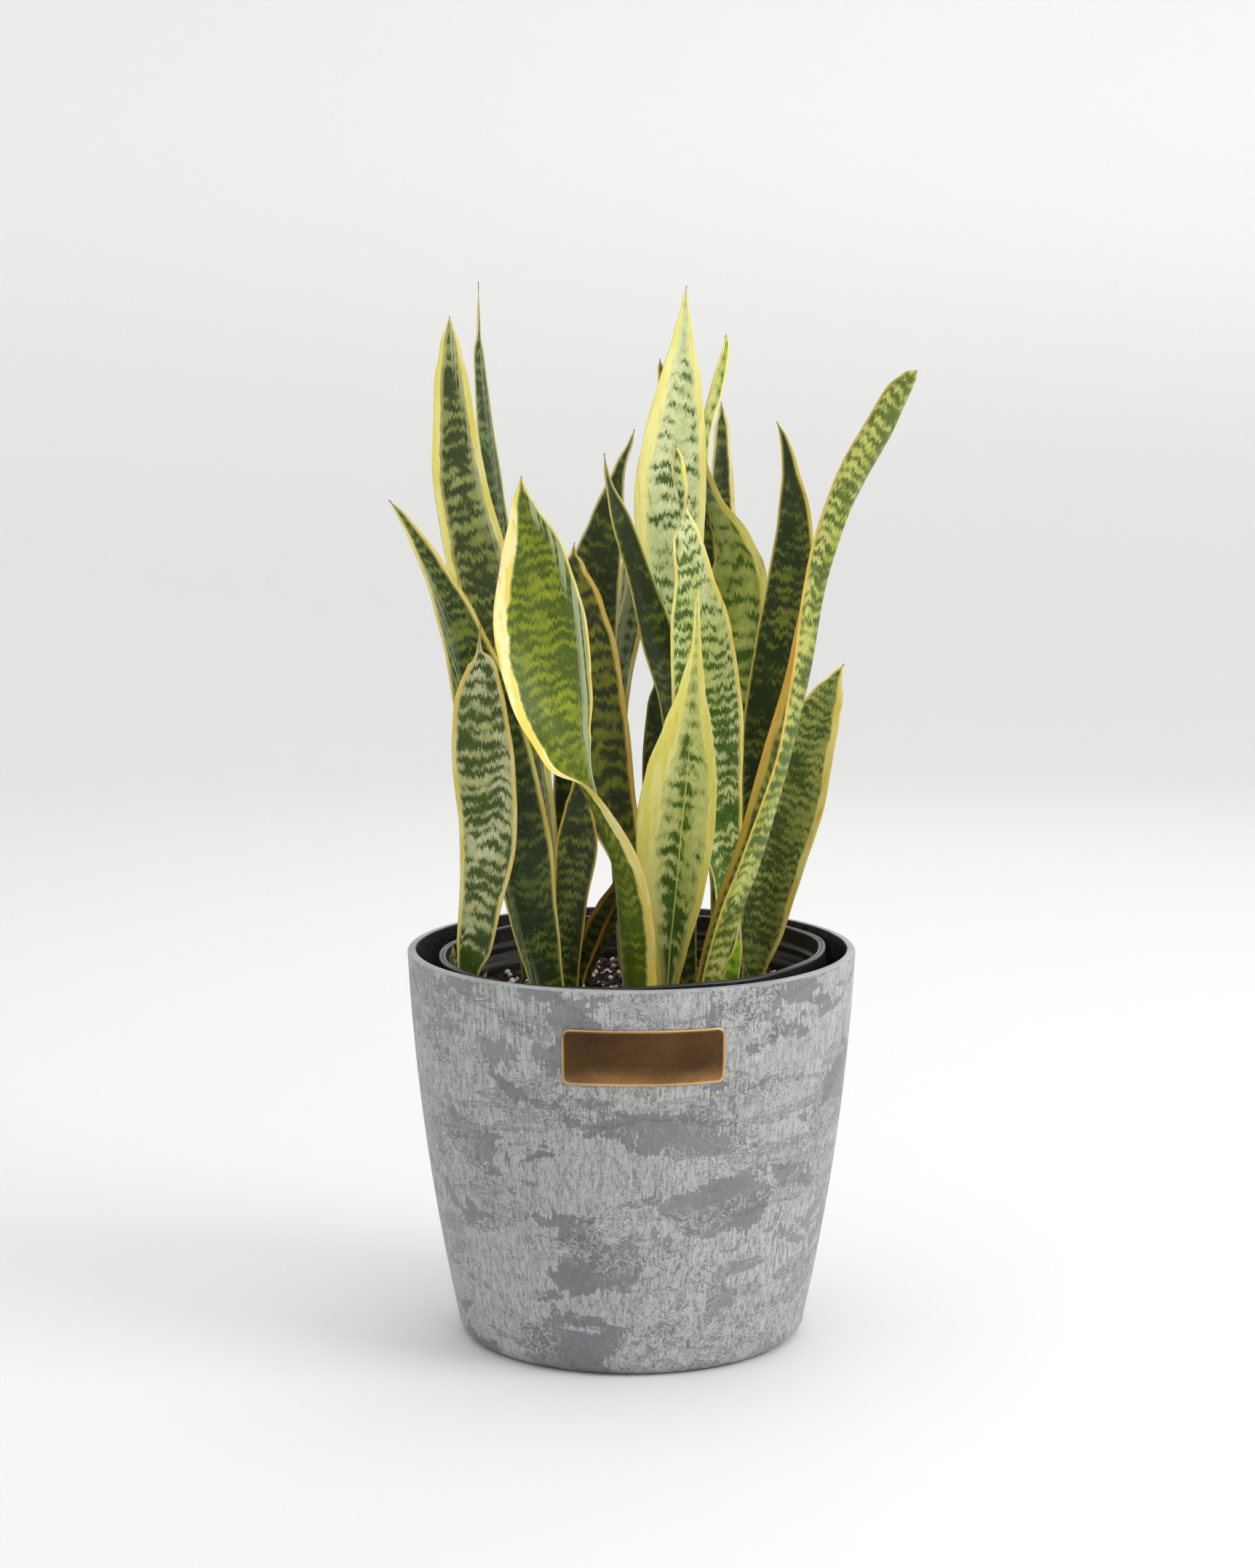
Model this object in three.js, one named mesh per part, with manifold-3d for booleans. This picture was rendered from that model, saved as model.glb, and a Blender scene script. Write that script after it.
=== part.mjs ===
// A potted snake plant: decorative outer pot with a bronze plate, black grower pot standing
// askew inside it, potting mix, rhizomes and the separate leaves.
// Millimetres, +Z up, -Y front, origin at the centre of the outer pot's base.
import * as THREE from "three";
import { mergeVertices } from "three/addons/utils/BufferGeometryUtils.js";
import Module from "manifold-3d";

const wasm = await Module();
wasm.setup();

// ---- driving dimensions ----

// Gap between neighbouring solids that touch in the real plant.
const clearance = 0.35;

// Outer pot.
const potHeight = 258.5;
const potRimRadius = 147.5;
const potFootRadius = 112.7;
const potBulge = 0.655; // how strongly the side curves: 0 is a straight cone
const potWall = 5.8;
const potFloor = 8;
const potFootRounding = 12;
const potInnerRounding = 14;
const potRimRounding = 2.2;
const potRimEdge = 30; // degrees; the rim's rounding starts here, leaving a fine outer edge

// Plate on the front of the outer pot.
const plateWidth = 102;
const plateHeight = 36;
const plateThickness = 1.2;
const plateCornerRadius = 5;
const plateSideOffset = 7.6;
const plateDrop = 43; // from the rim of the outer pot to the middle of the plate

// Grower pot, sized to hang freely inside the outer pot.
const growerSink = 4.5; // from the outer pot's rim down to the lip
const growerRimGap = 14.1; // between the outer pot's wall and the lip
const growerFootGap = 10.9; // the same at the foot
const lipOverhang = 7.1; // the lip's outside, beyond the wall just below it
const growerHeight = potHeight - potFloor - growerSink;
const growerRimRadius = potRimRadius - potWall - growerRimGap;
const growerFootRadius = potFootRadius - potWall - growerFootGap;
const growerShoulderRadius = growerRimRadius - lipOverhang;
const growerWall = 1.6;
const growerFloor = 2;
const lipHeight = 13;
const lipWidth = 4.8;
const lipRidges = 2;
const lipUndercut = 0.8; // the lip's foot sits this far in from the lip's outside
const lipFlare = 2; // height over which the wall widens to the lip
const footBevel = 3;
const stepDepths = [12, 22]; // inner rings, below the top of the lip
const stepWidth = 1.2;
const growerTilt = 1.35; // degrees; its left side sits lower
const holeCount = 8;
const holeRadius = 6;
const holeCircleShare = 0.72;

// Potting mix, and the plant in it.
const soilDrop = 28; // from the top of the lip to the surface
const soilDome = 3; // drop of the surface from its middle to the pot's wall
const domeProfile = [[0.86, 0.3], [0.4, 0]]; // [share of the radius, share of the drop]
const rootDepth = 18; // where the leaves leave their rhizome
const rhizomeRadius = 6.5;
const leafThickness = 2.6;
const footThickening = 1.35; // thickness at the foot, as a share of the leaf's
const taper = [1.15, 0.35]; // the loss of thickness along the blade, and how much it eases off
const thickestShare = 0.62; // of the blade's width at that place
const tipWidth = 0.8;
const channelPower = 1.6; // 1 folds the blade into a V, 2 curves it evenly
const plantHeight = 462; // from the soil to the tip of the tallest leaf
const plantSpread = 118.6; // soil radius that the leaves' places below were chosen for
const tableHeight = 462; // plant height that the leaves' points below were chosen for

// Fineness of the round pieces and the leaves.
const potSegments = 60;
const sideSteps = 6; // up the side of the outer pot and of its plate
const arcSteps = { foot: 3, rim: 2, corner: 4, ridge: 4 };
const cornerSegments = 5;
const holeSides = 16;
const leafSides = 8;
const stepsPerRow = 2;
const rhizomeSteps = 4;
const spineTension = 0.5;
const shapeTension = 0.3;
const weldDistance = 1e-4;

// ---- leaves ----

// Each row is a point on the leaf's midrib and the blade there: [x, y, z, width, facing, fold].
// x and y are from the grower pot's axis and z from the soil.
// Facing is the way that the blade's inner face looks, in degrees from -Y towards +X.
// Fold is the depth of the channel as a share of half the width.
const leaves = {
  leaf_front_left: [
    [-101, -38, -18, 11, -15, 0.45],
    [-105, -41, 20, 14, -15, 0.45],
    [-100, -43, 42, 24, -15, 0.4],
    [-96, -46, 66, 28, -15, 0.3],
    [-89, -51, 112, 38, -15, 0.2],
    [-90, -59, 160, 42, -15, 0.16],
    [-91, -65, 198, 36, -15, 0.15],
    [-89, -68, 225, 21, -20, 0.2],
    [-91, -69, 236, 4, -20, 0.2],
    [-90, -70, 252, 0, -20, 0.2],
  ],
  leaf_left_lean: [
    [-55, -31, -18, 19, 21, 0.5],
    [-57, -31, 11, 23, 21, 0.5],
    [-65, -32, 58, 33, 21, 0.4],
    [-72, -32, 110, 41, 18, 0.3],
    [-89, -34, 188, 42, 16, 0.25],
    [-105, -38, 246, 27, 16, 0.25],
    [-121, -45, 288, 15, 16, 0.25],
    [-137, -52, 318, 6, 11, 0.3],
    [-146, -56, 331, 0, 11, 0.3],
  ],
  leaf_left_tall: [
    [-55, 8, -18, 13, -14, 0.5],
    [-56, 8, 10, 16, -14, 0.5],
    [-60, 8, 64, 29, -14, 0.35],
    [-67, 9, 118, 43, -14, 0.25],
    [-77, 13, 195, 45, -14, 0.2],
    [-91, 18, 271, 44, -14, 0.15],
    [-104, 24, 334, 37, -14, 0.12],
    [-108, 30, 392, 26, -14, 0.12],
    [-109, 34, 424, 14, -14, 0.15],
    [-109, 36, 437, 5, -14, 0.2],
    [-109, 36, 444, 0, -14, 0.2],
  ],
  leaf_left_needle: [
    [-69, 48, -18, 12, 30, 0.5],
    [-70, 48, 7, 15, 30, 0.5],
    [-72, 49, 72, 21, 35, 0.4],
    [-76, 51, 170, 28, 40, 0.3],
    [-84, 54, 268, 30, 45, 0.3],
    [-87, 57, 326, 21, 50, 0.3],
    [-91, 61, 376, 16, 52, 0.3],
    [-93, 65, 416, 11, 52, 0.3],
    [-92, 66, 433, 4, 52, 0.3],
    [-91, 68, 466, 0, 52, 0.3],
  ],
  leaf_front_twist: [
    [4, -77, -18, 20, 150, 0.5],
    [2, -78, 18, 25, 150, 0.5],
    [-3, -80, 73, 38, 125, 0.35],
    [-8, -82, 100, 45, 112, 0.3],
    [-26, -82, 145, 52, 92, 0.25],
    [-42, -82, 173, 56, 57, 0.22],
    [-49, -81, 210, 59, 28, 0.2],
    [-53, -82, 254, 59, 10, 0.18],
    [-55, -84, 296, 41, 0, 0.18],
    [-60, -86, 325, 18, 0, 0.25],
    [-61, -88, 338, 6, 0, 0.3],
    [-61, -88, 346, 0, 0, 0.3],
  ],
  leaf_mid_left_low: [
    [-43, -18, -18, 12, 12, 0.5],
    [-43, -18, 13, 15, 12, 0.5],
    [-40, -18, 62, 22, 12, 0.4],
    [-35, -18, 100, 28, 12, 0.35],
    [-33, -17, 126, 18, 12, 0.3],
    [-33, -17, 141, 7, 12, 0.3],
    [-32, -16, 158, 0, 12, 0.3],
  ],
  leaf_mid_left: [
    [2, 5, -18, 12, 22, 0.5],
    [1, 5, 9, 15, 22, 0.5],
    [-2, 6, 78, 20, 22, 0.4],
    [-12, 7, 119, 35, 22, 0.3],
    [-23, 8, 172, 49, 22, 0.25],
    [-29, 11, 221, 50, 22, 0.2],
    [-31, 14, 255, 36, 22, 0.2],
    [-32, 16, 280, 15, 22, 0.25],
    [-32, 18, 289, 4, 22, 0.3],
    [-31, 18, 296, 0, 22, 0.3],
  ],
  leaf_back_mid_dark: [
    [-39, 55, -18, 11, -18, 0.5],
    [-38, 55, 20, 13, -18, 0.5],
    [-36, 56, 76, 23, -18, 0.4],
    [-34, 58, 129, 31, -18, 0.3],
    [-24, 63, 207, 38, -18, 0.25],
    [-17, 68, 272, 35, -20, 0.22],
    [-9, 72, 306, 24, -23, 0.22],
    [0, 75, 340, 9, -28, 0.25],
    [7, 77, 356, 4, -28, 0.3],
    [10, 78, 366, 0, -28, 0.3],
  ],
  leaf_mid_dark: [
    [34, 14, -18, 13, 28, 0.5],
    [34, 14, 12, 16, 28, 0.5],
    [34, 13, 66, 19, 28, 0.4],
    [36, 9, 130, 23, 28, 0.3],
    [31, 6, 191, 24, 28, 0.3],
    [21, 2, 232, 25, 28, 0.25],
    [10, -2, 274, 18, 28, 0.3],
    [0, -4, 308, 15, 28, 0.3],
    [-8, -6, 336, 5, 28, 0.35],
    [-10, -7, 355, 0, 28, 0.35],
  ],
  leaf_back_mid_a: [
    [-1, 78, -18, 12, -30, 0.5],
    [-2, 78, 20, 15, -30, 0.5],
    [-5, 79, 90, 16, -30, 0.4],
    [-7, 82, 160, 19, -30, 0.3],
    [-3, 83, 197, 19, -30, 0.25],
    [4, 85, 231, 20, -30, 0.2],
    [10, 86, 263, 15, -30, 0.2],
    [14, 88, 295, 0, -30, 0.2],
  ],
  leaf_back_mid_b: [
    [-4, 98, -18, 10, 22, 0.5],
    [-4, 98, 19, 13, 22, 0.5],
    [-7, 99, 87, 14, 22, 0.4],
    [-7, 101, 162, 14, 22, 0.3],
    [-2, 104, 227, 14, 22, 0.2],
    [2, 106, 264, 11, 22, 0.2],
    [3, 108, 292, 0, 22, 0.2],
  ],
  leaf_back_centre_tall: [
    [24, 48, -18, 11, 9, 0.5],
    [24, 48, 10, 13, 9, 0.5],
    [27, 47, 95, 17, 9, 0.4],
    [30, 45, 174, 23, 9, 0.3],
    [32, 44, 223, 31, 9, 0.22],
    [31, 43, 276, 43, 9, 0.18],
    [32, 41, 324, 48, 9, 0.15],
    [36, 39, 363, 41, 9, 0.15],
    [40, 37, 396, 29, 9, 0.15],
    [43, 36, 427, 14, 9, 0.2],
    [45, 35, 450, 4, 9, 0.25],
    [46, 35, 460, 0, 9, 0.25],
  ],
  leaf_mid_low_dark: [
    [22, 26, -18, 14, -30, 0.5],
    [22, 26, 10, 18, -30, 0.5],
    [22, 27, 79, 22, -30, 0.4],
    [23, 29, 142, 26, -30, 0.3],
    [24, 31, 183, 20, -30, 0.3],
    [25, 31, 201, 11, -30, 0.3],
    [26, 32, 223, 0, -30, 0.3],
  ],
  leaf_front_centre: [
    [22, -49, -18, 14, -22, 0.6],
    [24, -50, 15, 18, -22, 0.6],
    [26, -51, 39, 29, -25, 0.5],
    [31, -54, 81, 48, -27, 0.42],
    [35, -57, 119, 56, -28, 0.38],
    [39, -60, 152, 51, -28, 0.36],
    [42, -63, 183, 34, -26, 0.34],
    [44, -64, 210, 17, -22, 0.32],
    [46, -65, 234, 7, -12, 0.3],
    [47, -67, 260, 3, -5, 0.3],
    [49, -68, 277, 0, -5, 0.3],
  ],
  leaf_centre_blotched: [
    [62, 2, -18, 12, 20, 0.5],
    [62, 2, 14, 15, 20, 0.5],
    [63, 0, 73, 20, 20, 0.4],
    [54, -6, 128, 40, 15, 0.3],
    [52, -14, 184, 47, 12, 0.25],
    [49, -20, 238, 41, 10, 0.22],
    [45, -23, 277, 25, 12, 0.22],
    [40, -24, 301, 22, 35, 0.3],
    [39, -25, 320, 15, 90, 0.4],
    [37, -25, 340, 11, 150, 0.4],
    [37, -25, 352, 7, 170, 0.4],
    [36, -25, 360, 0, 170, 0.4],
  ],
  leaf_back_right_twist: [
    [63, 61, -18, 18, 175, 0.5],
    [64, 61, 17, 22, 175, 0.5],
    [71, 61, 107, 34, 172, 0.3],
    [74, 62, 190, 42, 170, 0.2],
    [76, 63, 259, 42, 158, 0.18],
    [72, 62, 287, 39, 130, 0.2],
    [58, 61, 320, 36, 104, 0.22],
    [54, 60, 359, 30, 80, 0.25],
    [62, 59, 392, 23, 70, 0.3],
    [70, 59, 417, 12, 66, 0.3],
    [72, 59, 428, 0, 66, 0.3],
  ],
  leaf_back_right_small: [
    [60, 86, -18, 11, 12, 0.5],
    [63, 96, 15, 13, 12, 0.5],
    [65, 97, 101, 18, 12, 0.4],
    [66, 99, 186, 21, 12, 0.3],
    [67, 102, 265, 21, 12, 0.2],
    [68, 105, 317, 17, 12, 0.2],
    [69, 107, 359, 11, 12, 0.2],
    [69, 108, 374, 5, 12, 0.25],
    [69, 108, 382, 0, 12, 0.25],
  ],
  leaf_back_centre_dark: [
    [63, 80, -18, 11, -10, 0.5],
    [63, 80, 21, 14, -10, 0.5],
    [64, 80, 74, 20, -10, 0.4],
    [61, 81, 163, 26, -10, 0.3],
    [54, 83, 238, 27, -10, 0.2],
    [50, 85, 294, 28, -10, 0.2],
    [42, 87, 350, 25, -10, 0.2],
    [33, 88, 387, 12, -10, 0.25],
    [29, 89, 404, 5, -10, 0.3],
    [28, 90, 412, 0, -10, 0.3],
  ],
  leaf_right_dark: [
    [79, 52, -18, 14, -28, 0.5],
    [80, 52, 8, 18, -28, 0.5],
    [92, 50, 88, 32, -28, 0.4],
    [98, 48, 167, 39, -28, 0.3],
    [106, 45, 219, 39, -28, 0.25],
    [113, 41, 268, 34, -28, 0.22],
    [115, 36, 306, 25, -26, 0.22],
    [112, 33, 339, 12, -23, 0.25],
    [108, 31, 359, 6, -18, 0.3],
    [103, 30, 371, 0, -18, 0.3],
  ],
  leaf_right_long: [
    [51, -56, -18, 16, -83, 1.3],
    [56, -56, 16, 20, -83, 1.3],
    [70, -56, 61, 22, -82, 1.3],
    [84, -55, 97, 23, -80, 1.25],
    [103, -53, 159, 24, -72, 1.1],
    [117, -50, 214, 22, -84, 1.1],
    [127, -47, 265, 22, -96, 1.1],
    [138, -44, 300, 26, -120, 0.75],
    [151, -41, 336, 26, -135, 0.5],
    [169, -38, 369, 24, -140, 0.4],
    [178, -36, 387, 21, -140, 0.35],
    [186, -35, 399, 12, -140, 0.3],
    [190, -35, 404, 0, -140, 0.3],
  ],
  leaf_right_low: [
    [82, 22, -18, 13, -24, 0.5],
    [82, 22, 4, 16, -24, 0.5],
    [90, 21, 39, 32, -26, 0.4],
    [101, 18, 83, 40, -29, 0.3],
    [113, 16, 122, 42, -29, 0.25],
    [123, 16, 165, 37, -29, 0.2],
    [133, 16, 189, 24, -29, 0.2],
    [139, 17, 203, 9, -24, 0.25],
    [144, 17, 212, 0, -24, 0.25],
  ],
  pup_right: [
    [60, -22, -18, 9, 30, 0.5],
    [63, -22, 10, 12, 30, 0.5],
    [65, -22, 21, 12, 30, 0.5],
    [68, -22, 29, 8, 30, 0.45],
    [70, -21, 39, 4, 30, 0.4],
    [70, -21, 52, 0, 30, 0.4],
  ],
  leaf_centre_low_fold: [
    [-33, 22, -18, 13, -60, 1.2],
    [-28, 22, 8, 16, -60, 1.2],
    [-21, 22, 21, 18, -60, 1.5],
    [-13, 22, 36, 19, -60, 1.6],
    [-8, 22, 51, 17, -60, 1.4],
    [-4, 21, 69, 10, -60, 1],
    [-3, 21, 83, 0, -60, 1],
  ],
  sprout_left: [
    [-106, 5, -18, 2, 0, 0.4],
    [-118, 5, 19, 3, 0, 0.4],
    [-118, 5, 26, 3, 0, 0.4],
    [-118, 5, 33, 0, 0, 0.4],
  ],
  sprout_front: [
    [-103, 0, -18, 2, 0, 0.4],
    [-98, 0, 10, 2, 0, 0.4],
    [-97, 0, 12, 2, 0, 0.4],
    [-96, 0, 15, 0, 0, 0.4],
  ],
};

// Rhizomes, in the soil under their leaves: the points that each centre line passes through, [x, y].
const rhizomes = {
  rhizome_left: [[-98, -40], [-104, 10]],
  rhizome_left_mid: [[-50, -46], [-52, 8], [-62, 46]],
  rhizome_front: [[0, -76], [30, -50]],
  rhizome_mid: [[-35, -14], [0, 5], [30, 12]],
  rhizome_back: [[-34, 56], [0, 80], [30, 60]],
  rhizome_right: [[52, -52], [70, -20], [78, 30], [80, 50]],
};

// ---- materials ----

function material(color, roughness, metalness = 0) {
  return new THREE.MeshStandardMaterial({ color, roughness, metalness });
}

const stoneGrey = material(0x77787a, 0.55);
const bronze = material(0x6f604c, 0.42, 0.85);
const blackPlastic = material(0x17181a, 0.5);
const pottingMix = material(0x2f241c, 0.95);
const rhizomeTan = material(0xb98a4e, 0.7);
const leafGreen = material(0x6f8a4c, 0.42);

// ---- helpers ----

// A solid for joining and cutting, from a closed geometry.
function toSolid(geometry) {
  const bare = geometry.index ? geometry.clone() : geometry;
  bare.deleteAttribute("normal");
  bare.deleteAttribute("uv");
  const merged = mergeVertices(bare, weldDistance);
  return new wasm.Manifold(
    new wasm.Mesh({
      numProp: 3,
      vertProperties: new Float32Array(merged.attributes.position.array),
      triVerts: new Uint32Array(merged.index.array),
    }),
  );
}

function toGeometry(solid) {
  const { vertProperties, triVerts } = solid.getMesh();
  const geometry = new THREE.BufferGeometry();
  geometry.setAttribute("position", new THREE.BufferAttribute(vertProperties, 3));
  geometry.setIndex(new THREE.BufferAttribute(triVerts, 1));
  return geometry;
}

function named(name, geometry, look) {
  const mesh = new THREE.Mesh(geometry, look);
  mesh.name = name;
  return mesh;
}

// Points on a part of a circle, from one angle to another in degrees.
function arc(centreR, centreZ, radius, from, to, steps) {
  return Array.from({ length: steps + 1 }, (_, i) => {
    const angle = THREE.MathUtils.degToRad(from + ((to - from) * i) / steps);
    return [centreR + radius * Math.cos(angle), centreZ + radius * Math.sin(angle)];
  });
}

// A turned body about +Z from [radius, height] points.
function turned(points) {
  const profile = points.map(([r, z]) => new THREE.Vector2(Math.max(r, 0), z));
  return new THREE.LatheGeometry(profile, potSegments).rotateX(Math.PI / 2);
}

// ---- outer pot ----

function potRadius(z) {
  const t = z / potHeight;
  return potFootRadius + (potRimRadius - potFootRadius) * ((1 + potBulge) * t - potBulge * t * t);
}

// Points up the pot's side at a distance outside its surface, between two heights.
function potSide(offset, low, high) {
  return Array.from({ length: sideSteps + 1 }, (_, i) => {
    const z = low + ((high - low) * i) / sideSteps;
    return [potRadius(z) + offset, z];
  });
}

function outerPot() {
  const footRadius = potRadius(potFootRounding) - potFootRounding;
  const foot = arc(footRadius, potFootRounding, potFootRounding, -90, 0, arcSteps.foot);
  const rimLow = potHeight - potRimRounding;
  const outside = potSide(0, potFootRounding, rimLow).slice(1);
  const rim = arc(potRimRadius - potRimRounding, rimLow, potRimRounding, potRimEdge, 90, arcSteps.rim);
  const innerLow = potFloor + potInnerRounding;
  const innerRadius = potRadius(innerLow) - potWall - potInnerRounding;
  const inside = potSide(-potWall, innerLow, potHeight).reverse();
  const corner = arc(innerRadius, innerLow, potInnerRounding, 0, -90, arcSteps.corner).slice(1);
  return turned([[0, 0], ...foot, ...outside, ...rim, ...inside, ...corner, [0, potFloor]]);
}

// ---- plate ----

function roundedRectangle(width, height, radius) {
  const shape = new THREE.Shape();
  const x = width / 2 - radius;
  const y = height / 2 - radius;
  shape.absarc(x, y, radius, 0, Math.PI / 2);
  shape.absarc(-x, y, radius, Math.PI / 2, Math.PI);
  shape.absarc(-x, -y, radius, Math.PI, Math.PI * 1.5);
  shape.absarc(x, -y, radius, Math.PI * 1.5, Math.PI * 2);
  shape.closePath();
  return shape;
}

// The plate follows the pot's side: a thin band around the pot, kept only inside the plate's outline.
function namePlate() {
  const middle = potHeight - plateDrop;
  const low = middle - plateHeight;
  const high = middle + plateHeight;
  const inner = potSide(clearance, low, high).reverse();
  const outer = potSide(clearance + plateThickness, low, high);
  const band = toSolid(turned([...inner, ...outer, inner[0]]));
  const outline = new THREE.ExtrudeGeometry(
    roundedRectangle(plateWidth, plateHeight, plateCornerRadius),
    { depth: potRimRadius, bevelEnabled: false, curveSegments: cornerSegments },
  );
  outline.rotateX(Math.PI / 2).translate(plateSideOffset, 0, middle);
  return toGeometry(band.intersect(toSolid(outline)));
}

// ---- grower pot and soil, in the grower pot's own frame with z = 0 under its floor ----

const lipFoot = growerHeight - lipHeight;

function growerRadius(z) {
  return THREE.MathUtils.mapLinear(z, 0, lipFoot, growerFootRadius, growerShoulderRadius);
}

function growerPot() {
  const ridge = lipWidth / (2 * lipRidges);
  const lipTop = growerHeight - ridge;
  const ridges = [[growerRimRadius, lipTop]];
  for (let i = 0; i < lipRidges; i += 1) {
    const centre = growerRimRadius - ridge * (2 * i + 1);
    ridges.push(...arc(centre, lipTop, ridge, 0, 180, arcSteps.ridge).slice(1));
  }
  const [upperStep, lowerStep] = stepDepths.map((depth) => growerHeight - depth);
  const lipInner = growerRimRadius - lipWidth;
  const wallAt = (z) => growerRadius(z) - growerWall;
  const inside = [
    [lipInner, upperStep],
    [wallAt(lipFoot) + stepWidth, upperStep],
    [wallAt(lipFoot) + stepWidth, lowerStep],
    [wallAt(lowerStep), lowerStep],
    [wallAt(growerFloor), growerFloor],
    [0, growerFloor],
  ];
  const shell = toSolid(
    turned([
      [0, 0],
      [growerFootRadius - footBevel, 0],
      [growerRadius(footBevel), footBevel],
      [growerRadius(lipFoot - lipFlare), lipFoot - lipFlare],
      [growerRimRadius - lipUndercut, lipFoot],
      ...ridges,
      ...inside,
    ]),
  );
  let pot = shell;
  const ring = holeCircleShare * growerFootRadius;
  const drillLength = 4 * growerFloor; // centred on the foot, so half of it goes through the floor
  for (let i = 0; i < holeCount; i += 1) {
    const angle = (2 * Math.PI * (i + 0.5)) / holeCount;
    const drill = new THREE.CylinderGeometry(holeRadius, holeRadius, drillLength, holeSides);
    drill.rotateX(Math.PI / 2).translate(ring * Math.cos(angle), ring * Math.sin(angle), 0);
    pot = pot.subtract(toSolid(drill));
  }
  return toGeometry(pot);
}

const soilTop = growerHeight - soilDrop;
const soilRadius = growerRadius(soilTop) - growerWall - clearance;

function soilBody() {
  const floor = growerFloor + clearance;
  const edge = soilTop - soilDome;
  return turned([
    [0, floor],
    [growerRadius(floor) - growerWall - clearance, floor],
    [growerRadius(edge) - growerWall - clearance, edge],
    ...domeProfile.map(([radius, drop]) => [radius * soilRadius, soilTop - drop * soilDome]),
    [0, soilTop],
  ]);
}

// ---- leaves, in the grower pot's frame with z = 0 at the soil's surface ----

const spread = soilRadius / plantSpread;
const stretch = plantHeight / tableHeight;

// Place of a table point: the plant fills its pot, and only what is above the soil grows taller.
function placed(x, y, z) {
  return new THREE.Vector3(x * spread, y * spread, z > 0 ? z * stretch : z);
}

// Blade thickness at a share of its length: thick at the foot and thin at the tip.
function bladeThickness(share, width) {
  const full = leafThickness * (footThickening - taper[0] * share + taper[1] * share * share);
  return Math.min(full, thickestShare * width);
}

// A cylinder, shaped row by row into a channelled blade. A margin makes the cutter of the leaf's pocket.
function blade(rows, margin = 0) {
  const points = rows.map(([x, y, z]) => placed(x, y, z === rows[0][2] ? -rootDepth - margin : z));
  const spine = new THREE.CatmullRomCurve3(points, false, "catmullrom", spineTension);
  const shapes = rows.map(([, , , width, facing, fold]) => new THREE.Vector3(width, facing, fold));
  const shape = new THREE.CatmullRomCurve3(shapes, false, "catmullrom", shapeTension);
  const steps = (rows.length - 1) * stepsPerRow;
  const geometry = new THREE.CylinderGeometry(1, 1, 1, leafSides, steps);
  const position = geometry.attributes.position;
  for (let i = 0; i < position.count; i += 1) {
    const share = position.getY(i) + 0.5;
    const centre = spine.getPoint(share);
    const along = spine.getTangent(share);
    const { x: rawWidth, y: facing, z: fold } = shape.getPoint(share);
    const width = Math.max(rawWidth, tipWidth) * spread;
    const angle = THREE.MathUtils.degToRad(facing);
    const normal = new THREE.Vector3(Math.sin(angle), -Math.cos(angle), 0);
    normal.addScaledVector(along, -normal.dot(along)).normalize();
    const across = new THREE.Vector3().crossVectors(along, normal);
    const side = position.getX(i) * (width / 2 + margin);
    const channel = fold * (width / 2) * Math.pow(Math.abs((2 * side) / width), channelPower);
    const depth = position.getZ(i) * (bladeThickness(share, width) / 2 + margin);
    centre.addScaledVector(across, side).addScaledVector(normal, channel + depth);
    position.setXYZ(i, centre.x, centre.y, centre.z);
  }
  return geometry;
}

// A short thick stem lying just under the feet of its leaves. A margin makes the cutter of its pocket.
function rhizome(route, margin = 0) {
  const depth = -rootDepth - 3 * clearance - rhizomeRadius;
  const points = route.map(([x, y]) => placed(x, y, depth));
  const first = points[0].clone().sub(points[1]).normalize();
  const last = points.at(-1).clone().sub(points.at(-2)).normalize();
  points[0].addScaledVector(first, margin);
  points.at(-1).addScaledVector(last, margin);
  const section = new THREE.Shape();
  section.absarc(0, 0, rhizomeRadius + margin, 0, 2 * Math.PI);
  return new THREE.ExtrudeGeometry(section, {
    steps: rhizomeSteps,
    curveSegments: cornerSegments,
    bevelEnabled: false,
    extrudePath: new THREE.CatmullRomCurve3(points),
  });
}

// ---- assembly ----

const group = new THREE.Group();
group.add(named("outer_pot", outerPot(), stoneGrey));
group.add(named("name_plate", namePlate(), bronze));

// The grower pot leans: the low edge of its foot stands on the outer pot's floor, and its lip
// stays centred in the outer pot.
const tilt = THREE.MathUtils.degToRad(growerTilt);
const grower = new THREE.Group();
grower.rotation.y = -tilt;
grower.position.set(
  growerHeight * Math.sin(tilt),
  0,
  potFloor + clearance + growerFootRadius * Math.sin(tilt),
);
group.add(grower);
grower.add(named("nursery_pot", growerPot(), blackPlastic));

const plant = new THREE.Group();
plant.position.z = soilTop;
grower.add(plant);

const pocketMargin = 2 * clearance;
let soil = toSolid(soilBody().translate(0, 0, -soilTop));
for (const [name, rows] of Object.entries(leaves)) {
  soil = soil.subtract(toSolid(blade(rows, pocketMargin)));
  plant.add(named(name, blade(rows), leafGreen));
}
for (const [name, route] of Object.entries(rhizomes)) {
  soil = soil.subtract(toSolid(rhizome(route, pocketMargin)));
  plant.add(named(name, rhizome(route), rhizomeTan));
}
plant.add(named("soil", toGeometry(soil), pottingMix));

export default group;
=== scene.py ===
"""The looks of a potted snake plant. Pieces stand for CAD nodes, in metres, +Z up."""

import math

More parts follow.
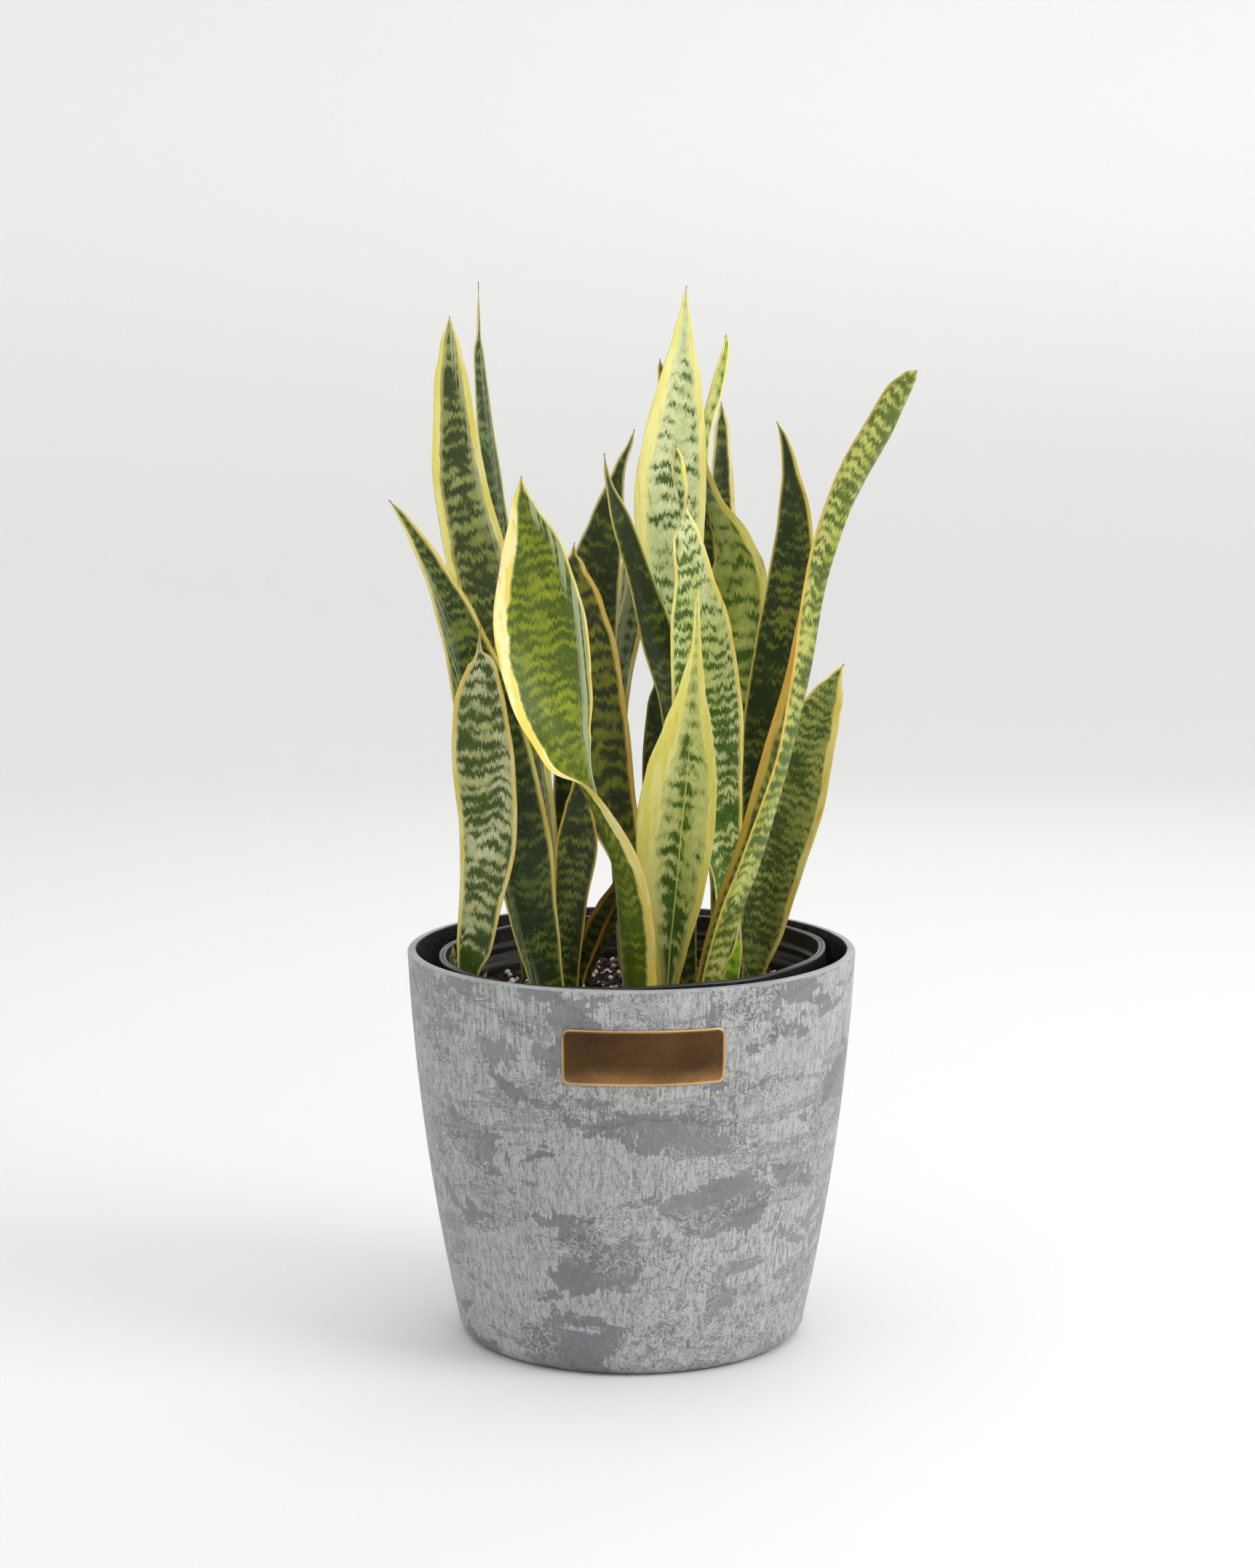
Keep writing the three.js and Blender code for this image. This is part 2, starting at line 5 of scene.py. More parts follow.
import bpy
import numpy as np
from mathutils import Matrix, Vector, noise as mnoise


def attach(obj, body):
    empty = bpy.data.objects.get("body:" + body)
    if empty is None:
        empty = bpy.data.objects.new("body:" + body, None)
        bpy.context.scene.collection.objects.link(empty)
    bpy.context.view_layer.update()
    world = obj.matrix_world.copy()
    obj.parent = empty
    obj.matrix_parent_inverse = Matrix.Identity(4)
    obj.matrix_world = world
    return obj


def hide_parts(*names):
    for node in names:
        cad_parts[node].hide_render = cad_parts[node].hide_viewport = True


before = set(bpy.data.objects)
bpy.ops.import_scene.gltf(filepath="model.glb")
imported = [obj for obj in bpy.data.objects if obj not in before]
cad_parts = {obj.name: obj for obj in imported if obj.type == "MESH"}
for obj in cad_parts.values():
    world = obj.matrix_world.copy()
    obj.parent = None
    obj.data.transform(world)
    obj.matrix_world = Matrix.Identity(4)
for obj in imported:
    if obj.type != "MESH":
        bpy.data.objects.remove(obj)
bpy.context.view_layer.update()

MM = 0.001


# ---------------------------------------------------------------- small helpers

def rgb(r, g, b):
    """An sRGB colour in 0 to 255 as a linear RGBA tuple."""
    def linear(c):
        c = c / 255.0
        return c / 12.92 if c <= 0.04045 else ((c + 0.055) / 1.055) ** 2.4
    return (linear(r), linear(g), linear(b), 1.0)


def smoothstep(low, high, x):
    t = np.clip((x - low) / (high - low), 0.0, 1.0)
    return t * t * (3 - 2 * t)


def mesh_object(name, verts, faces, material, smooth=True):
    mesh = bpy.data.meshes.new(name)
    mesh.from_pydata([tuple(map(float, v)) for v in verts], [], [tuple(map(int, f)) for f in faces])
    mesh.validate()
    mesh.update()
    if smooth:
        mesh.polygons.foreach_set("use_smooth", [True] * len(mesh.polygons))
    mesh.materials.append(material)
    obj = bpy.data.objects.new(name, mesh)
    bpy.context.scene.collection.objects.link(obj)
    return obj


def ring_faces(first, rings, sides, inward=False):
    """Quads between neighbouring rings of points. The first ring starts at the point numbered first."""
    faces = []
    for k in range(rings - 1):
        low, high = first + k * sides, first + (k + 1) * sides
        for i in range(sides):
            j = (i + 1) % sides
            quad = (low + i, low + j, high + j, high + i)
            faces.append(quad[::-1] if inward else quad)
    return faces


def end_faces(first, rings, sides):
    """One flat face over each end of a ringed tube."""
    last = first + (rings - 1) * sides
    return [tuple(range(first + sides - 1, first - 1, -1)), tuple(range(last, last + sides))]


def point_attribute(obj, name, values):
    layer = obj.data.attributes.new(name, "FLOAT", "POINT")
    layer.data.foreach_set("value", np.asarray(values, dtype=np.float32))


def stands_for(obj, node):
    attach(obj, "root")
    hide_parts(node)


# ---------------------------------------------------------------- shader graphs

class Graph:
    """Builds a material's nodes from short calls. A value is a number or an output socket."""

    def __init__(self, name):
        self.material = bpy.data.materials.new(name)
        self.material.use_nodes = True
        self.tree = self.material.node_tree
        self.shader = self.tree.nodes["Principled BSDF"]

    def _plug(self, socket, value):
        if isinstance(value, bpy.types.NodeSocket):
            self.tree.links.new(value, socket)
        else:
            socket.default_value = value

    def math(self, operation, a, b=0.0, c=0.0):
        node = self.tree.nodes.new("ShaderNodeMath")
        node.operation = operation
        for socket, value in zip(node.inputs, (a, b, c)):
            self._plug(socket, value)
        return node.outputs[0]

    def add(self, a, b):
        return self.math("ADD", a, b)

    def mul(self, a, b):
        return self.math("MULTIPLY", a, b)

    def scale_add(self, a, b, c):
        return self.math("MULTIPLY_ADD", a, b, c)

    def step(self, value, low, high):
        """0 below low, 1 above high, smooth between them."""
        node = self.tree.nodes.new("ShaderNodeMapRange")
        node.interpolation_type = "SMOOTHSTEP"
        self._plug(node.inputs["Value"], value)
        self._plug(node.inputs["From Min"], low)
        self._plug(node.inputs["From Max"], high)
        return node.outputs[0]

    def vector(self, x, y, z):
        node = self.tree.nodes.new("ShaderNodeCombineXYZ")
        for socket, value in zip(node.inputs, (x, y, z)):
            self._plug(socket, value)
        return node.outputs[0]

    def attribute(self, name):
        node = self.tree.nodes.new("ShaderNodeAttribute")
        node.attribute_name = name
        return node.outputs["Fac"]

    def position(self):
        node = self.tree.nodes.new("ShaderNodeTexCoord")
        return node.outputs["Object"]

    def stretched(self, vector, x, y, z):
        node = self.tree.nodes.new("ShaderNodeMapping")
        self._plug(node.inputs["Vector"], vector)
        node.inputs["Scale"].default_value = (x, y, z)
        return node.outputs[0]

    def noise(self, vector, scale=1.0, detail=2.0, roughness=0.5, distortion=0.0):
        node = self.tree.nodes.new("ShaderNodeTexNoise")
        self._plug(node.inputs["Vector"], vector)
        node.inputs["Scale"].default_value = scale
        node.inputs["Detail"].default_value = detail
        node.inputs["Roughness"].default_value = roughness
        node.inputs["Distortion"].default_value = distortion
        return node.outputs["Fac"]

    def cells(self, vector, scale):
        node = self.tree.nodes.new("ShaderNodeTexVoronoi")
        self._plug(node.inputs["Vector"], vector)
        node.inputs["Scale"].default_value = scale
        return node.outputs["Distance"]

    def mix(self, factor, a, b, blend="MIX"):
        node = self.tree.nodes.new("ShaderNodeMix")
        node.data_type = "RGBA"
        node.blend_type = blend
        self._plug(node.inputs[0], factor)
        self._plug(node.inputs[6], a)
        self._plug(node.inputs[7], b)
        return node.outputs[2]

    def ramp(self, factor, stops):
        node = self.tree.nodes.new("ShaderNodeValToRGB")
        elements = node.color_ramp.elements
        while len(elements) < len(stops):
            elements.new(0.5)
        for element, (place, colour) in zip(elements, stops):
            element.position = place
            element.color = colour
        self._plug(node.inputs[0], factor)
        return node.outputs[0]

    def bump(self, height, distance, strength=1.0):
        node = self.tree.nodes.new("ShaderNodeBump")
        self._plug(node.inputs["Height"], height)
        node.inputs["Distance"].default_value = distance
        node.inputs["Strength"].default_value = strength
        return node.outputs[0]

    def finish(self, colour, roughness, normal=None, **fixed):
        self._plug(self.shader.inputs["Base Color"], colour)
        self._plug(self.shader.inputs["Roughness"], roughness)
        if normal is not None:
            self._plug(self.shader.inputs["Normal"], normal)
        for socket, value in fixed.items():
            self.shader.inputs[socket.replace("_", " ")].default_value = value
        return self.material


# ---------------------------------------------------------------- sizes, as in the CAD, in millimetres

CLEARANCE = 0.35

POT_HEIGHT = 258.5
POT_RIM = 147.5
POT_FOOT = 112.7
POT_BULGE = 0.655
POT_WALL = 5.8
POT_FLOOR = 8
POT_FOOT_ROUNDING = 12
POT_INNER_ROUNDING = 14
POT_RIM_ROUNDING = 2.2

PLATE_WIDTH = 102
PLATE_HEIGHT = 36
PLATE_THICKNESS = 1.2
PLATE_CORNER = 5
PLATE_SIDE = 7.6
PLATE_DROP = 43

GROWER_HEIGHT = 246
GROWER_RIM = 127.6
GROWER_FOOT = 96
GROWER_SHOULDER = 120.5
GROWER_WALL = 1.6
GROWER_FLOOR = 2
LIP_HEIGHT = 13
LIP_WIDTH = 4.8
STEP_DEPTHS = (12, 22)
STEP_WIDTH = 1.2
GROWER_TILT = math.radians(1.35)
SOIL_DROP = 28
SOIL_DOME = 3
ROOT_DEPTH = 18
RHIZOME_RADIUS = 6.5
LEAF_THICKNESS = 2.6

LIP_FOOT = GROWER_HEIGHT - LIP_HEIGHT
SOIL_TOP = GROWER_HEIGHT - SOIL_DROP


def pot_radius(z):
    t = z / POT_HEIGHT
    return POT_FOOT + (POT_RIM - POT_FOOT) * ((1 + POT_BULGE) * t - POT_BULGE * t * t)


def grower_radius(z):
    return GROWER_FOOT + (GROWER_SHOULDER - GROWER_FOOT) * z / LIP_FOOT


SOIL_RADIUS = grower_radius(SOIL_TOP) - GROWER_WALL - CLEARANCE


def from_grower(points):
    """Grower-pot coordinates in mm, z = 0 under its floor, to the row frame in metres."""
    p = np.asarray(points, dtype=float)
    c, s = math.cos(GROWER_TILT), math.sin(GROWER_TILT)
    x = p[:, 0] * c - p[:, 2] * s + GROWER_HEIGHT * s
    z = p[:, 0] * s + p[:, 2] * c + POT_FLOOR + CLEARANCE + GROWER_FOOT * s
    return np.column_stack([x, p[:, 1], z]) * MM


def from_soil(points):
    """The same, with z = 0 at the soil's surface."""
    return from_grower(np.asarray(points, dtype=float) + [0, 0, SOIL_TOP])


# ---------------------------------------------------------------- turned shapes

def arc(r, z, radius, start, end, steps):
    angles = np.radians(np.linspace(start, end, steps + 1))
    return [(r + radius * math.cos(a), z + radius * math.sin(a)) for a in angles]


def turned(profile, segments):
    """A closed body of revolution from (radius, height) points that start and end on the axis."""
    ring = profile[1:-1]
    angles = np.linspace(0, 2 * math.pi, segments, endpoint=False)
    verts = [(r * math.cos(a), r * math.sin(a), z) for r, z in ring for a in angles]
    verts += [(0, 0, profile[0][1]), (0, 0, profile[-1][1])]
    first, last, top = len(verts) - 2, len(verts) - 1, (len(ring) - 1) * segments
    faces = ring_faces(0, len(ring), segments)
    for i in range(segments):
        j = (i + 1) % segments
        faces.append((first, j, i))
        faces.append((last, top + i, top + j))
    return np.array(verts), faces


# ---------------------------------------------------------------- materials of the pots

def stone_material():
    """Cast grey composite: slate patches with torn edges, pale streaks, crinkled pale veins. Painted light:
    highlights on the torn edges, veins painted bright as lit ridges with painted shade beside them, painted
    shade beside the ledge lines, a lighter rim top painted as a highlight.
    """
    g = Graph("cast_stone")
    p = g.position()
    inside = g.attribute("inside")
    # rim: the rim's top face, painted lighter as a painted highlight where it faces the lamps above
    rim = g.attribute("rim")

    def line(field, centre, width):
        return g.step(g.math("ABSOLUTE", g.math("SUBTRACT", field, centre)), width, 0.0)

    streaks = g.noise(g.stretched(p, 560, 560, 62), 1, 4, 0.7, 0.3)
    fine = g.noise(g.stretched(p, 1300, 1300, 330), 1, 3, 0.7)
    broad = g.noise(g.stretched(p, 7, 7, 8), 1, 3, 0.5)
    patch = g.noise(g.stretched(p, 17, 17, 30), 1, 8, 0.6, 0.5)
    torn = g.add(g.scale_add(streaks, 0.2, patch), g.scale_add(fine, 0.08, -0.14))
    coat = g.step(torn, 0.45, 0.5)
    # painted highlight: a pale line along the torn edges of the pale coat, as if the relief caught the
    # light
    torn_edge_highlight = line(torn, 0.47, 0.02)

    crinkle = g.noise(g.stretched(p, 150, 150, 130), 1, 8, 0.74, 0.6)
    zone = g.step(g.noise(g.stretched(p, 11, 11, 19), 1, 5, 0.62, 0.6), 0.47, 0.58)
    # pale veins, partly the stone's own pale veining and partly a painted highlight on the crinkled relief;
    # shade is painted shade, a dark line beside each vein
    pale_vein_highlight = g.mul(line(crinkle, 0.5, 0.035), zone)
    shade = g.mul(line(crinkle, 0.545, 0.03), zone)
    hair = g.noise(g.stretched(p, 330, 330, 150), 1, 5, 0.7, 0.8)
    hairline = g.mul(line(hair, 0.5, 0.05), coat)

    ledge = g.noise(g.stretched(p, 5.5, 5.5, 19), 1, 7, 0.58, 0.3)
    ledge_line = line(g.scale_add(fine, 0.02, ledge), 0.535, 0.012)
    ledge_shade = g.mul(g.step(ledge, 0.535, 0.545), g.step(ledge, 0.60, 0.545))
    scar = g.step(g.noise(g.stretched(p, 60, 60, 150), 1, 5, 0.65, 0.6), 0.635, 0.68)

    slate = g.mix(g.step(broad, 0.35, 0.65), rgb(105, 107, 109), rgb(124, 126, 128))
    slate = g.mix(g.mul(g.step(streaks, 0.5, 0.72), 0.5), slate, rgb(148, 150, 152))
    pale = g.mix(g.step(streaks, 0.4, 0.6), rgb(114, 114, 114), rgb(176, 176, 175))
    pale = g.mix(g.mul(g.step(broad, 0.62, 0.38), 0.35), pale, rgb(136, 137, 138))
    colour = g.mix(coat, slate, pale)
    colour = g.mix(g.mul(hairline, 0.65), colour, rgb(196, 196, 195))
    colour = g.mix(g.mul(ledge_shade, 0.55), colour, rgb(104, 106, 110))
    colour = g.mix(g.mul(ledge_line, 0.55), colour, rgb(92, 88, 84))
    # the painted highlight on the torn edges goes on here
    colour = g.mix(g.mul(g.mul(torn_edge_highlight, g.step(hair, 0.42, 0.56)), 0.85), colour, rgb(200, 201, 201))
    colour = g.mix(g.mul(scar, 0.5), colour, rgb(112, 106, 98))
    # painted shade beside the veins, then the veins painted bright as lit ridges
    colour = g.mix(g.mul(shade, 0.6), colour, rgb(98, 94, 90))
    colour = g.mix(g.mul(pale_vein_highlight, 0.9), colour, rgb(220, 220, 220))
    colour = g.mix(g.mul(g.step(fine, 0.4, 0.7), 0.12), colour, rgb(196, 197, 198))
    # painted highlight: the rim's top face is painted a lighter grey
    colour = g.mix(rim, colour, g.mix(fine, rgb(148, 149, 151), rgb(176, 177, 179)))
    black = g.mix(fine, rgb(20, 20, 22), rgb(34, 34, 36))
    colour = g.mix(inside, colour, black)
    rough = g.scale_add(coat, 0.16, g.scale_add(fine, 0.2, 0.3))
    height = g.scale_add(coat, 0.45, g.scale_add(streaks, 0.5, g.mul(pale_vein_highlight, 0.7)))
    height = g.add(height, g.add(g.mul(scar, -0.5), g.add(g.mul(shade, -0.5), g.mul(ledge_line, -0.6))))
    normal = g.bump(g.scale_add(fine, 0.2, height), 0.0006, 0.6)
    return g.finish(colour, rough, normal)


def bronze_material():
    g = Graph("brushed_bronze")
    p = g.position()
    brush = g.noise(g.stretched(p, 2400, 2400, 60), 1, 3, 0.65)
    cloud = g.noise(g.stretched(p, 26, 26, 46), 1, 4, 0.55)
    # wear_and_shine: edges and lower part painted brighter, partly rubbed wear and partly a painted
    # highlight on the bevel and bottom
    wear_and_shine = g.attribute("wear_and_shine")
    tone = g.add(g.mul(wear_and_shine, 0.62), g.add(g.mul(brush, 0.3), g.mul(cloud, 0.5)))
    colour = g.ramp(tone, [(0.25, rgb(58, 40, 22)), (0.48, rgb(92, 66, 38)),
                           (0.75, rgb(142, 106, 66)), (1, rgb(206, 170, 120))])
    rough = g.scale_add(brush, 0.25, 0.3)
    normal = g.bump(brush, 0.00006, 0.5)
    return g.finish(colour, rough, normal, Metallic=0.85, Anisotropic=0.5)


def black_plastic_material():
    g = Graph("black_plastic")
    p = g.position()
    dust = g.step(g.noise(g.stretched(p, 60, 60, 90), 1, 5, 0.65, 0.6), 0.5, 0.78)
    scuff = g.step(g.noise(g.stretched(p, 160, 160, 900), 1, 3, 0.6), 0.62, 0.72)
    grain = g.noise(p, 1500, 2, 0.5)
    colour = g.mix(dust, rgb(19, 19, 21), rgb(48, 46, 44))
    colour = g.mix(g.mul(scuff, 0.5), colour, rgb(74, 74, 76))
    rough = g.scale_add(dust, 0.25, g.scale_add(grain, 0.12, 0.26))
    normal = g.bump(grain, 0.00008, 0.35)
    return g.finish(colour, rough, normal)


def soil_material():
    g = Graph("potting_mix")
    p = g.position()
    clumps = g.noise(p, 190, 6, 0.7, 0.4)
    crumbs = g.cells(p, 620)
    fleck = g.step(g.noise(p, 900, 2, 0.5), 0.64, 0.7)
    colour = g.ramp(clumps, [(0.25, rgb(16, 11, 9)), (0.5, rgb(44, 31, 24)), (0.75, rgb(84, 60, 46))])
    colour = g.mix(g.mul(fleck, 0.5), colour, rgb(122, 84, 62))
    height = g.add(g.mul(clumps, 1.4), g.mul(crumbs, 0.6))
    return g.finish(colour, 0.93, g.bump(height, 0.0016, 0.9))


def grain_material(name, stops, scale, rough, bump):
    """A rough granular material, coloured by noise between the stops and by each grain's own tone."""
    g = Graph(name)
    p = g.position()
    field = g.noise(p, scale, 4, 0.6)
    tone = g.scale_add(g.attribute("tone"), 0.6, g.mul(field, 0.5))
    return g.finish(g.ramp(tone, stops), rough, g.bump(field, bump, 0.8))


def rhizome_material():
    g = Graph("rhizome_skin")
    p = g.position()
    rings = g.noise(g.stretched(p, 120, 240, 60), 1, 4, 0.6)
    spots = g.noise(p, 420, 3, 0.6)
    colour = g.ramp(g.add(g.mul(rings, 0.7), g.mul(spots, 0.3)),
                    [(0.3, rgb(120, 74, 34)), (0.55, rgb(186, 134, 70)), (0.75, rgb(222, 186, 124))])
    return g.finish(colour, 0.6, g.bump(g.add(rings, spots), 0.0006, 0.6))


# ---------------------------------------------------------------- pots

STONE = stone_material()
BRONZE = bronze_material()
PLASTIC = black_plastic_material()


def outer_pot():
    def side(offset, low, high, steps):
        return [(pot_radius(z) + offset, z) for z in np.linspace(low, high, steps + 1)]
    rounding = POT_FOOT_ROUNDING
    inner_low = POT_FLOOR + POT_INNER_ROUNDING
    inner_centre = pot_radius(inner_low) - POT_WALL - POT_INNER_ROUNDING
    lip_corner = POT_HEIGHT - POT_RIM_ROUNDING
    inner_edge = 0.8
    inner_lip = POT_RIM - POT_WALL + inner_edge
    profile = [(0, 0), (60, 0)]
    profile += arc(pot_radius(rounding) - rounding, rounding, rounding, -90, 0, 10)
    profile += side(0, rounding, lip_corner, 60)[1:]
    profile += arc(POT_RIM - POT_RIM_ROUNDING, lip_corner, POT_RIM_ROUNDING, 12, 90, 7)
    profile += arc(inner_lip, POT_HEIGHT - inner_edge, inner_edge, 90, 180, 4)
    profile += side(-POT_WALL, inner_low, POT_HEIGHT - 1.6, 30)[::-1]
    profile += arc(inner_centre, inner_low, POT_INNER_ROUNDING, 0, -90, 8)[1:]
    profile += [(50, POT_FLOOR), (0, POT_FLOOR)]
    verts, faces = turned(profile, 256)
    obj = mesh_object("pot_shell", verts * MM, faces, STONE)
    radius = np.hypot(verts[:, 0], verts[:, 1])
    wall_middle = np.array([pot_radius(z) for z in verts[:, 2]]) - POT_WALL * 0.9
    inside = (radius < wall_middle) & (verts[:, 2] > POT_FLOOR / 2)
    # rim marks the rim's top face, which the stone material paints lighter as a painted highlight
    rim = (verts[:, 2] > POT_HEIGHT - 1.2) & ~inside
    point_attribute(obj, "inside", inside)
    point_attribute(obj, "rim", rim)
    stands_for(obj, "outer_pot")


def name_plate():
    """Plain curved plate with soft edges, pressed slightly hollow in the middle."""
    columns, rows = 160, 56
    middle = POT_HEIGHT - PLATE_DROP
    half_w, half_h = PLATE_WIDTH / 2, PLATE_HEIGHT / 2
    verts, wear_and_shine = [], []
    for layer in (0, 1):
        for j in range(rows + 1):
            for i in range(columns + 1):
                a, b = 2 * i / columns - 1, 2 * j / rows - 1
                a, b = math.sin(a * math.pi / 2), math.sin(b * math.pi / 2)
                x, z = squared_corner(a * half_w, b * half_h, half_w, half_h, PLATE_CORNER)
                edge = edge_distance(x, z, half_w, half_h, PLATE_CORNER)
                bevel = 0.7 * (1 - min(edge / 0.9, 1)) ** 2
                hollow = 0.18 * smoothstep(1.5, 4, edge)
                lift = (PLATE_THICKNESS - bevel - hollow) if layer else 0.0
                radius = pot_radius(middle + z) + CLEARANCE + lift
                px = PLATE_SIDE + x
                verts.append((px, -math.sqrt(radius * radius - px * px), middle + z))
                # Brighter near the edges and towards the bottom: partly rubbed wear, partly a painted
                # highlight
                shine = 1 - smoothstep(0.2, 2.4, edge)
                glow = smoothstep(-0.2, -1.0, z / half_h) * 0.55
                wear_and_shine.append(float(np.clip(shine + glow, 0, 1)) if layer else 0.4)
    grid = (columns + 1) * (rows + 1)
    faces = []
    for j in range(rows):
        for i in range(columns):
            a = j * (columns + 1) + i
            b, c, d = a + 1, a + columns + 2, a + columns + 1
            faces.append((a, d, c, b))
            faces.append((grid + a, grid + b, grid + c, grid + d))
    border = list(range(columns))
    border += [j * (columns + 1) + columns for j in range(rows)]
    border += [rows * (columns + 1) + i for i in range(columns, 0, -1)]
    border += [j * (columns + 1) for j in range(rows, 0, -1)]
    for a, b in zip(border, border[1:] + border[:1]):
        faces.append((a, b, grid + b, grid + a))
    obj = mesh_object("plain_plate", np.array(verts) * MM, faces, BRONZE)
    point_attribute(obj, "wear_and_shine", wear_and_shine)
    stands_for(obj, "name_plate")


def squared_corner(x, z, half_w, half_h, corner):
    """Moves a point of a rectangle inwards where its corner is rounded off."""
    inner_w, inner_h = half_w - corner, half_h - corner
    dx, dz = abs(x) - inner_w, abs(z) - inner_h
    if dx <= 0 or dz <= 0:
        return x, z
    reach = max(dx, dz) / max(math.hypot(dx, dz), 1e-9)
    return math.copysign(inner_w + dx * reach, x), math.copysign(inner_h + dz * reach, z)


def edge_distance(x, z, half_w, half_h, corner):
    dx, dz = abs(x) - (half_w - corner), abs(z) - (half_h - corner)
    if dx > 0 and dz > 0:
        return corner - math.hypot(dx, dz)
    return min(half_w - abs(x), half_h - abs(z))


def grower_pot():
    ridge = LIP_WIDTH / 4
    lip_top = GROWER_HEIGHT - ridge
    wall = GROWER_WALL
    upper, lower = (GROWER_HEIGHT - d for d in STEP_DEPTHS)
    lip_inner = GROWER_RIM - LIP_WIDTH
    shelf = grower_radius(LIP_FOOT) - wall + STEP_WIDTH
    profile = [(0, 0), (GROWER_FOOT - 3, 0)]
    profile += arc(GROWER_FOOT - 3, 3, 3, -80, 0, 4)
    profile += [(grower_radius(z), z) for z in np.linspace(6, LIP_FOOT - 2, 24)]
    profile += [(GROWER_RIM - 1.6, LIP_FOOT - 0.4), (GROWER_RIM - 0.9, LIP_FOOT)]
    profile += [(GROWER_RIM - 0.4, LIP_FOOT + 0.8), (GROWER_RIM - 0.2, LIP_FOOT + 4)]
    profile += [(GROWER_RIM, lip_top - 3)]
    profile += arc(GROWER_RIM - ridge, lip_top, ridge, 0, 165, 8)
    profile += arc(GROWER_RIM - 3 * ridge, lip_top, ridge, 15, 180, 8)
    profile += [(lip_inner + 0.1, upper + 2), (lip_inner - 0.3, upper + 0.5), (lip_inner - 1, upper)]
    profile += [(shelf + 0.6, upper), (shelf + 0.1, upper - 0.6), (shelf, upper - 1.5)]
    profile += [(shelf, lower + 1), (shelf - 0.3, lower + 0.2), (grower_radius(lower) - wall, lower - 0.6)]
    profile += [(grower_radius(z) - wall, z) for z in np.linspace(lower - 4, GROWER_FLOOR + 3, 24)]
    profile += [(grower_radius(0) - wall - 2, GROWER_FLOOR), (0, GROWER_FLOOR)]
    verts, faces = turned(profile, 240)
    angle = np.arctan2(verts[:, 1], verts[:, 0])
    near_lip = smoothstep(LIP_FOOT - 30, GROWER_HEIGHT, verts[:, 2])
    wave = 0.5 * np.sin(3 * angle + 0.6) + 0.35 * np.sin(7 * angle + 2.0) + 0.22 * np.sin(13 * angle)
    radius = np.hypot(verts[:, 0], verts[:, 1])
    scale = 1 + near_lip * 0.7 * wave / np.maximum(radius, 1)
    verts[:, 0] *= scale
    verts[:, 1] *= scale
    verts[:, 2] += near_lip * 0.6 * (0.6 * np.sin(4 * angle + 1.1) + 0.5 * np.sin(9 * angle + 0.4))
    obj = mesh_object("grower_shell", from_grower(verts), faces, PLASTIC)
    stands_for(obj, "nursery_pot")


# ---------------------------------------------------------------- leaves: shape

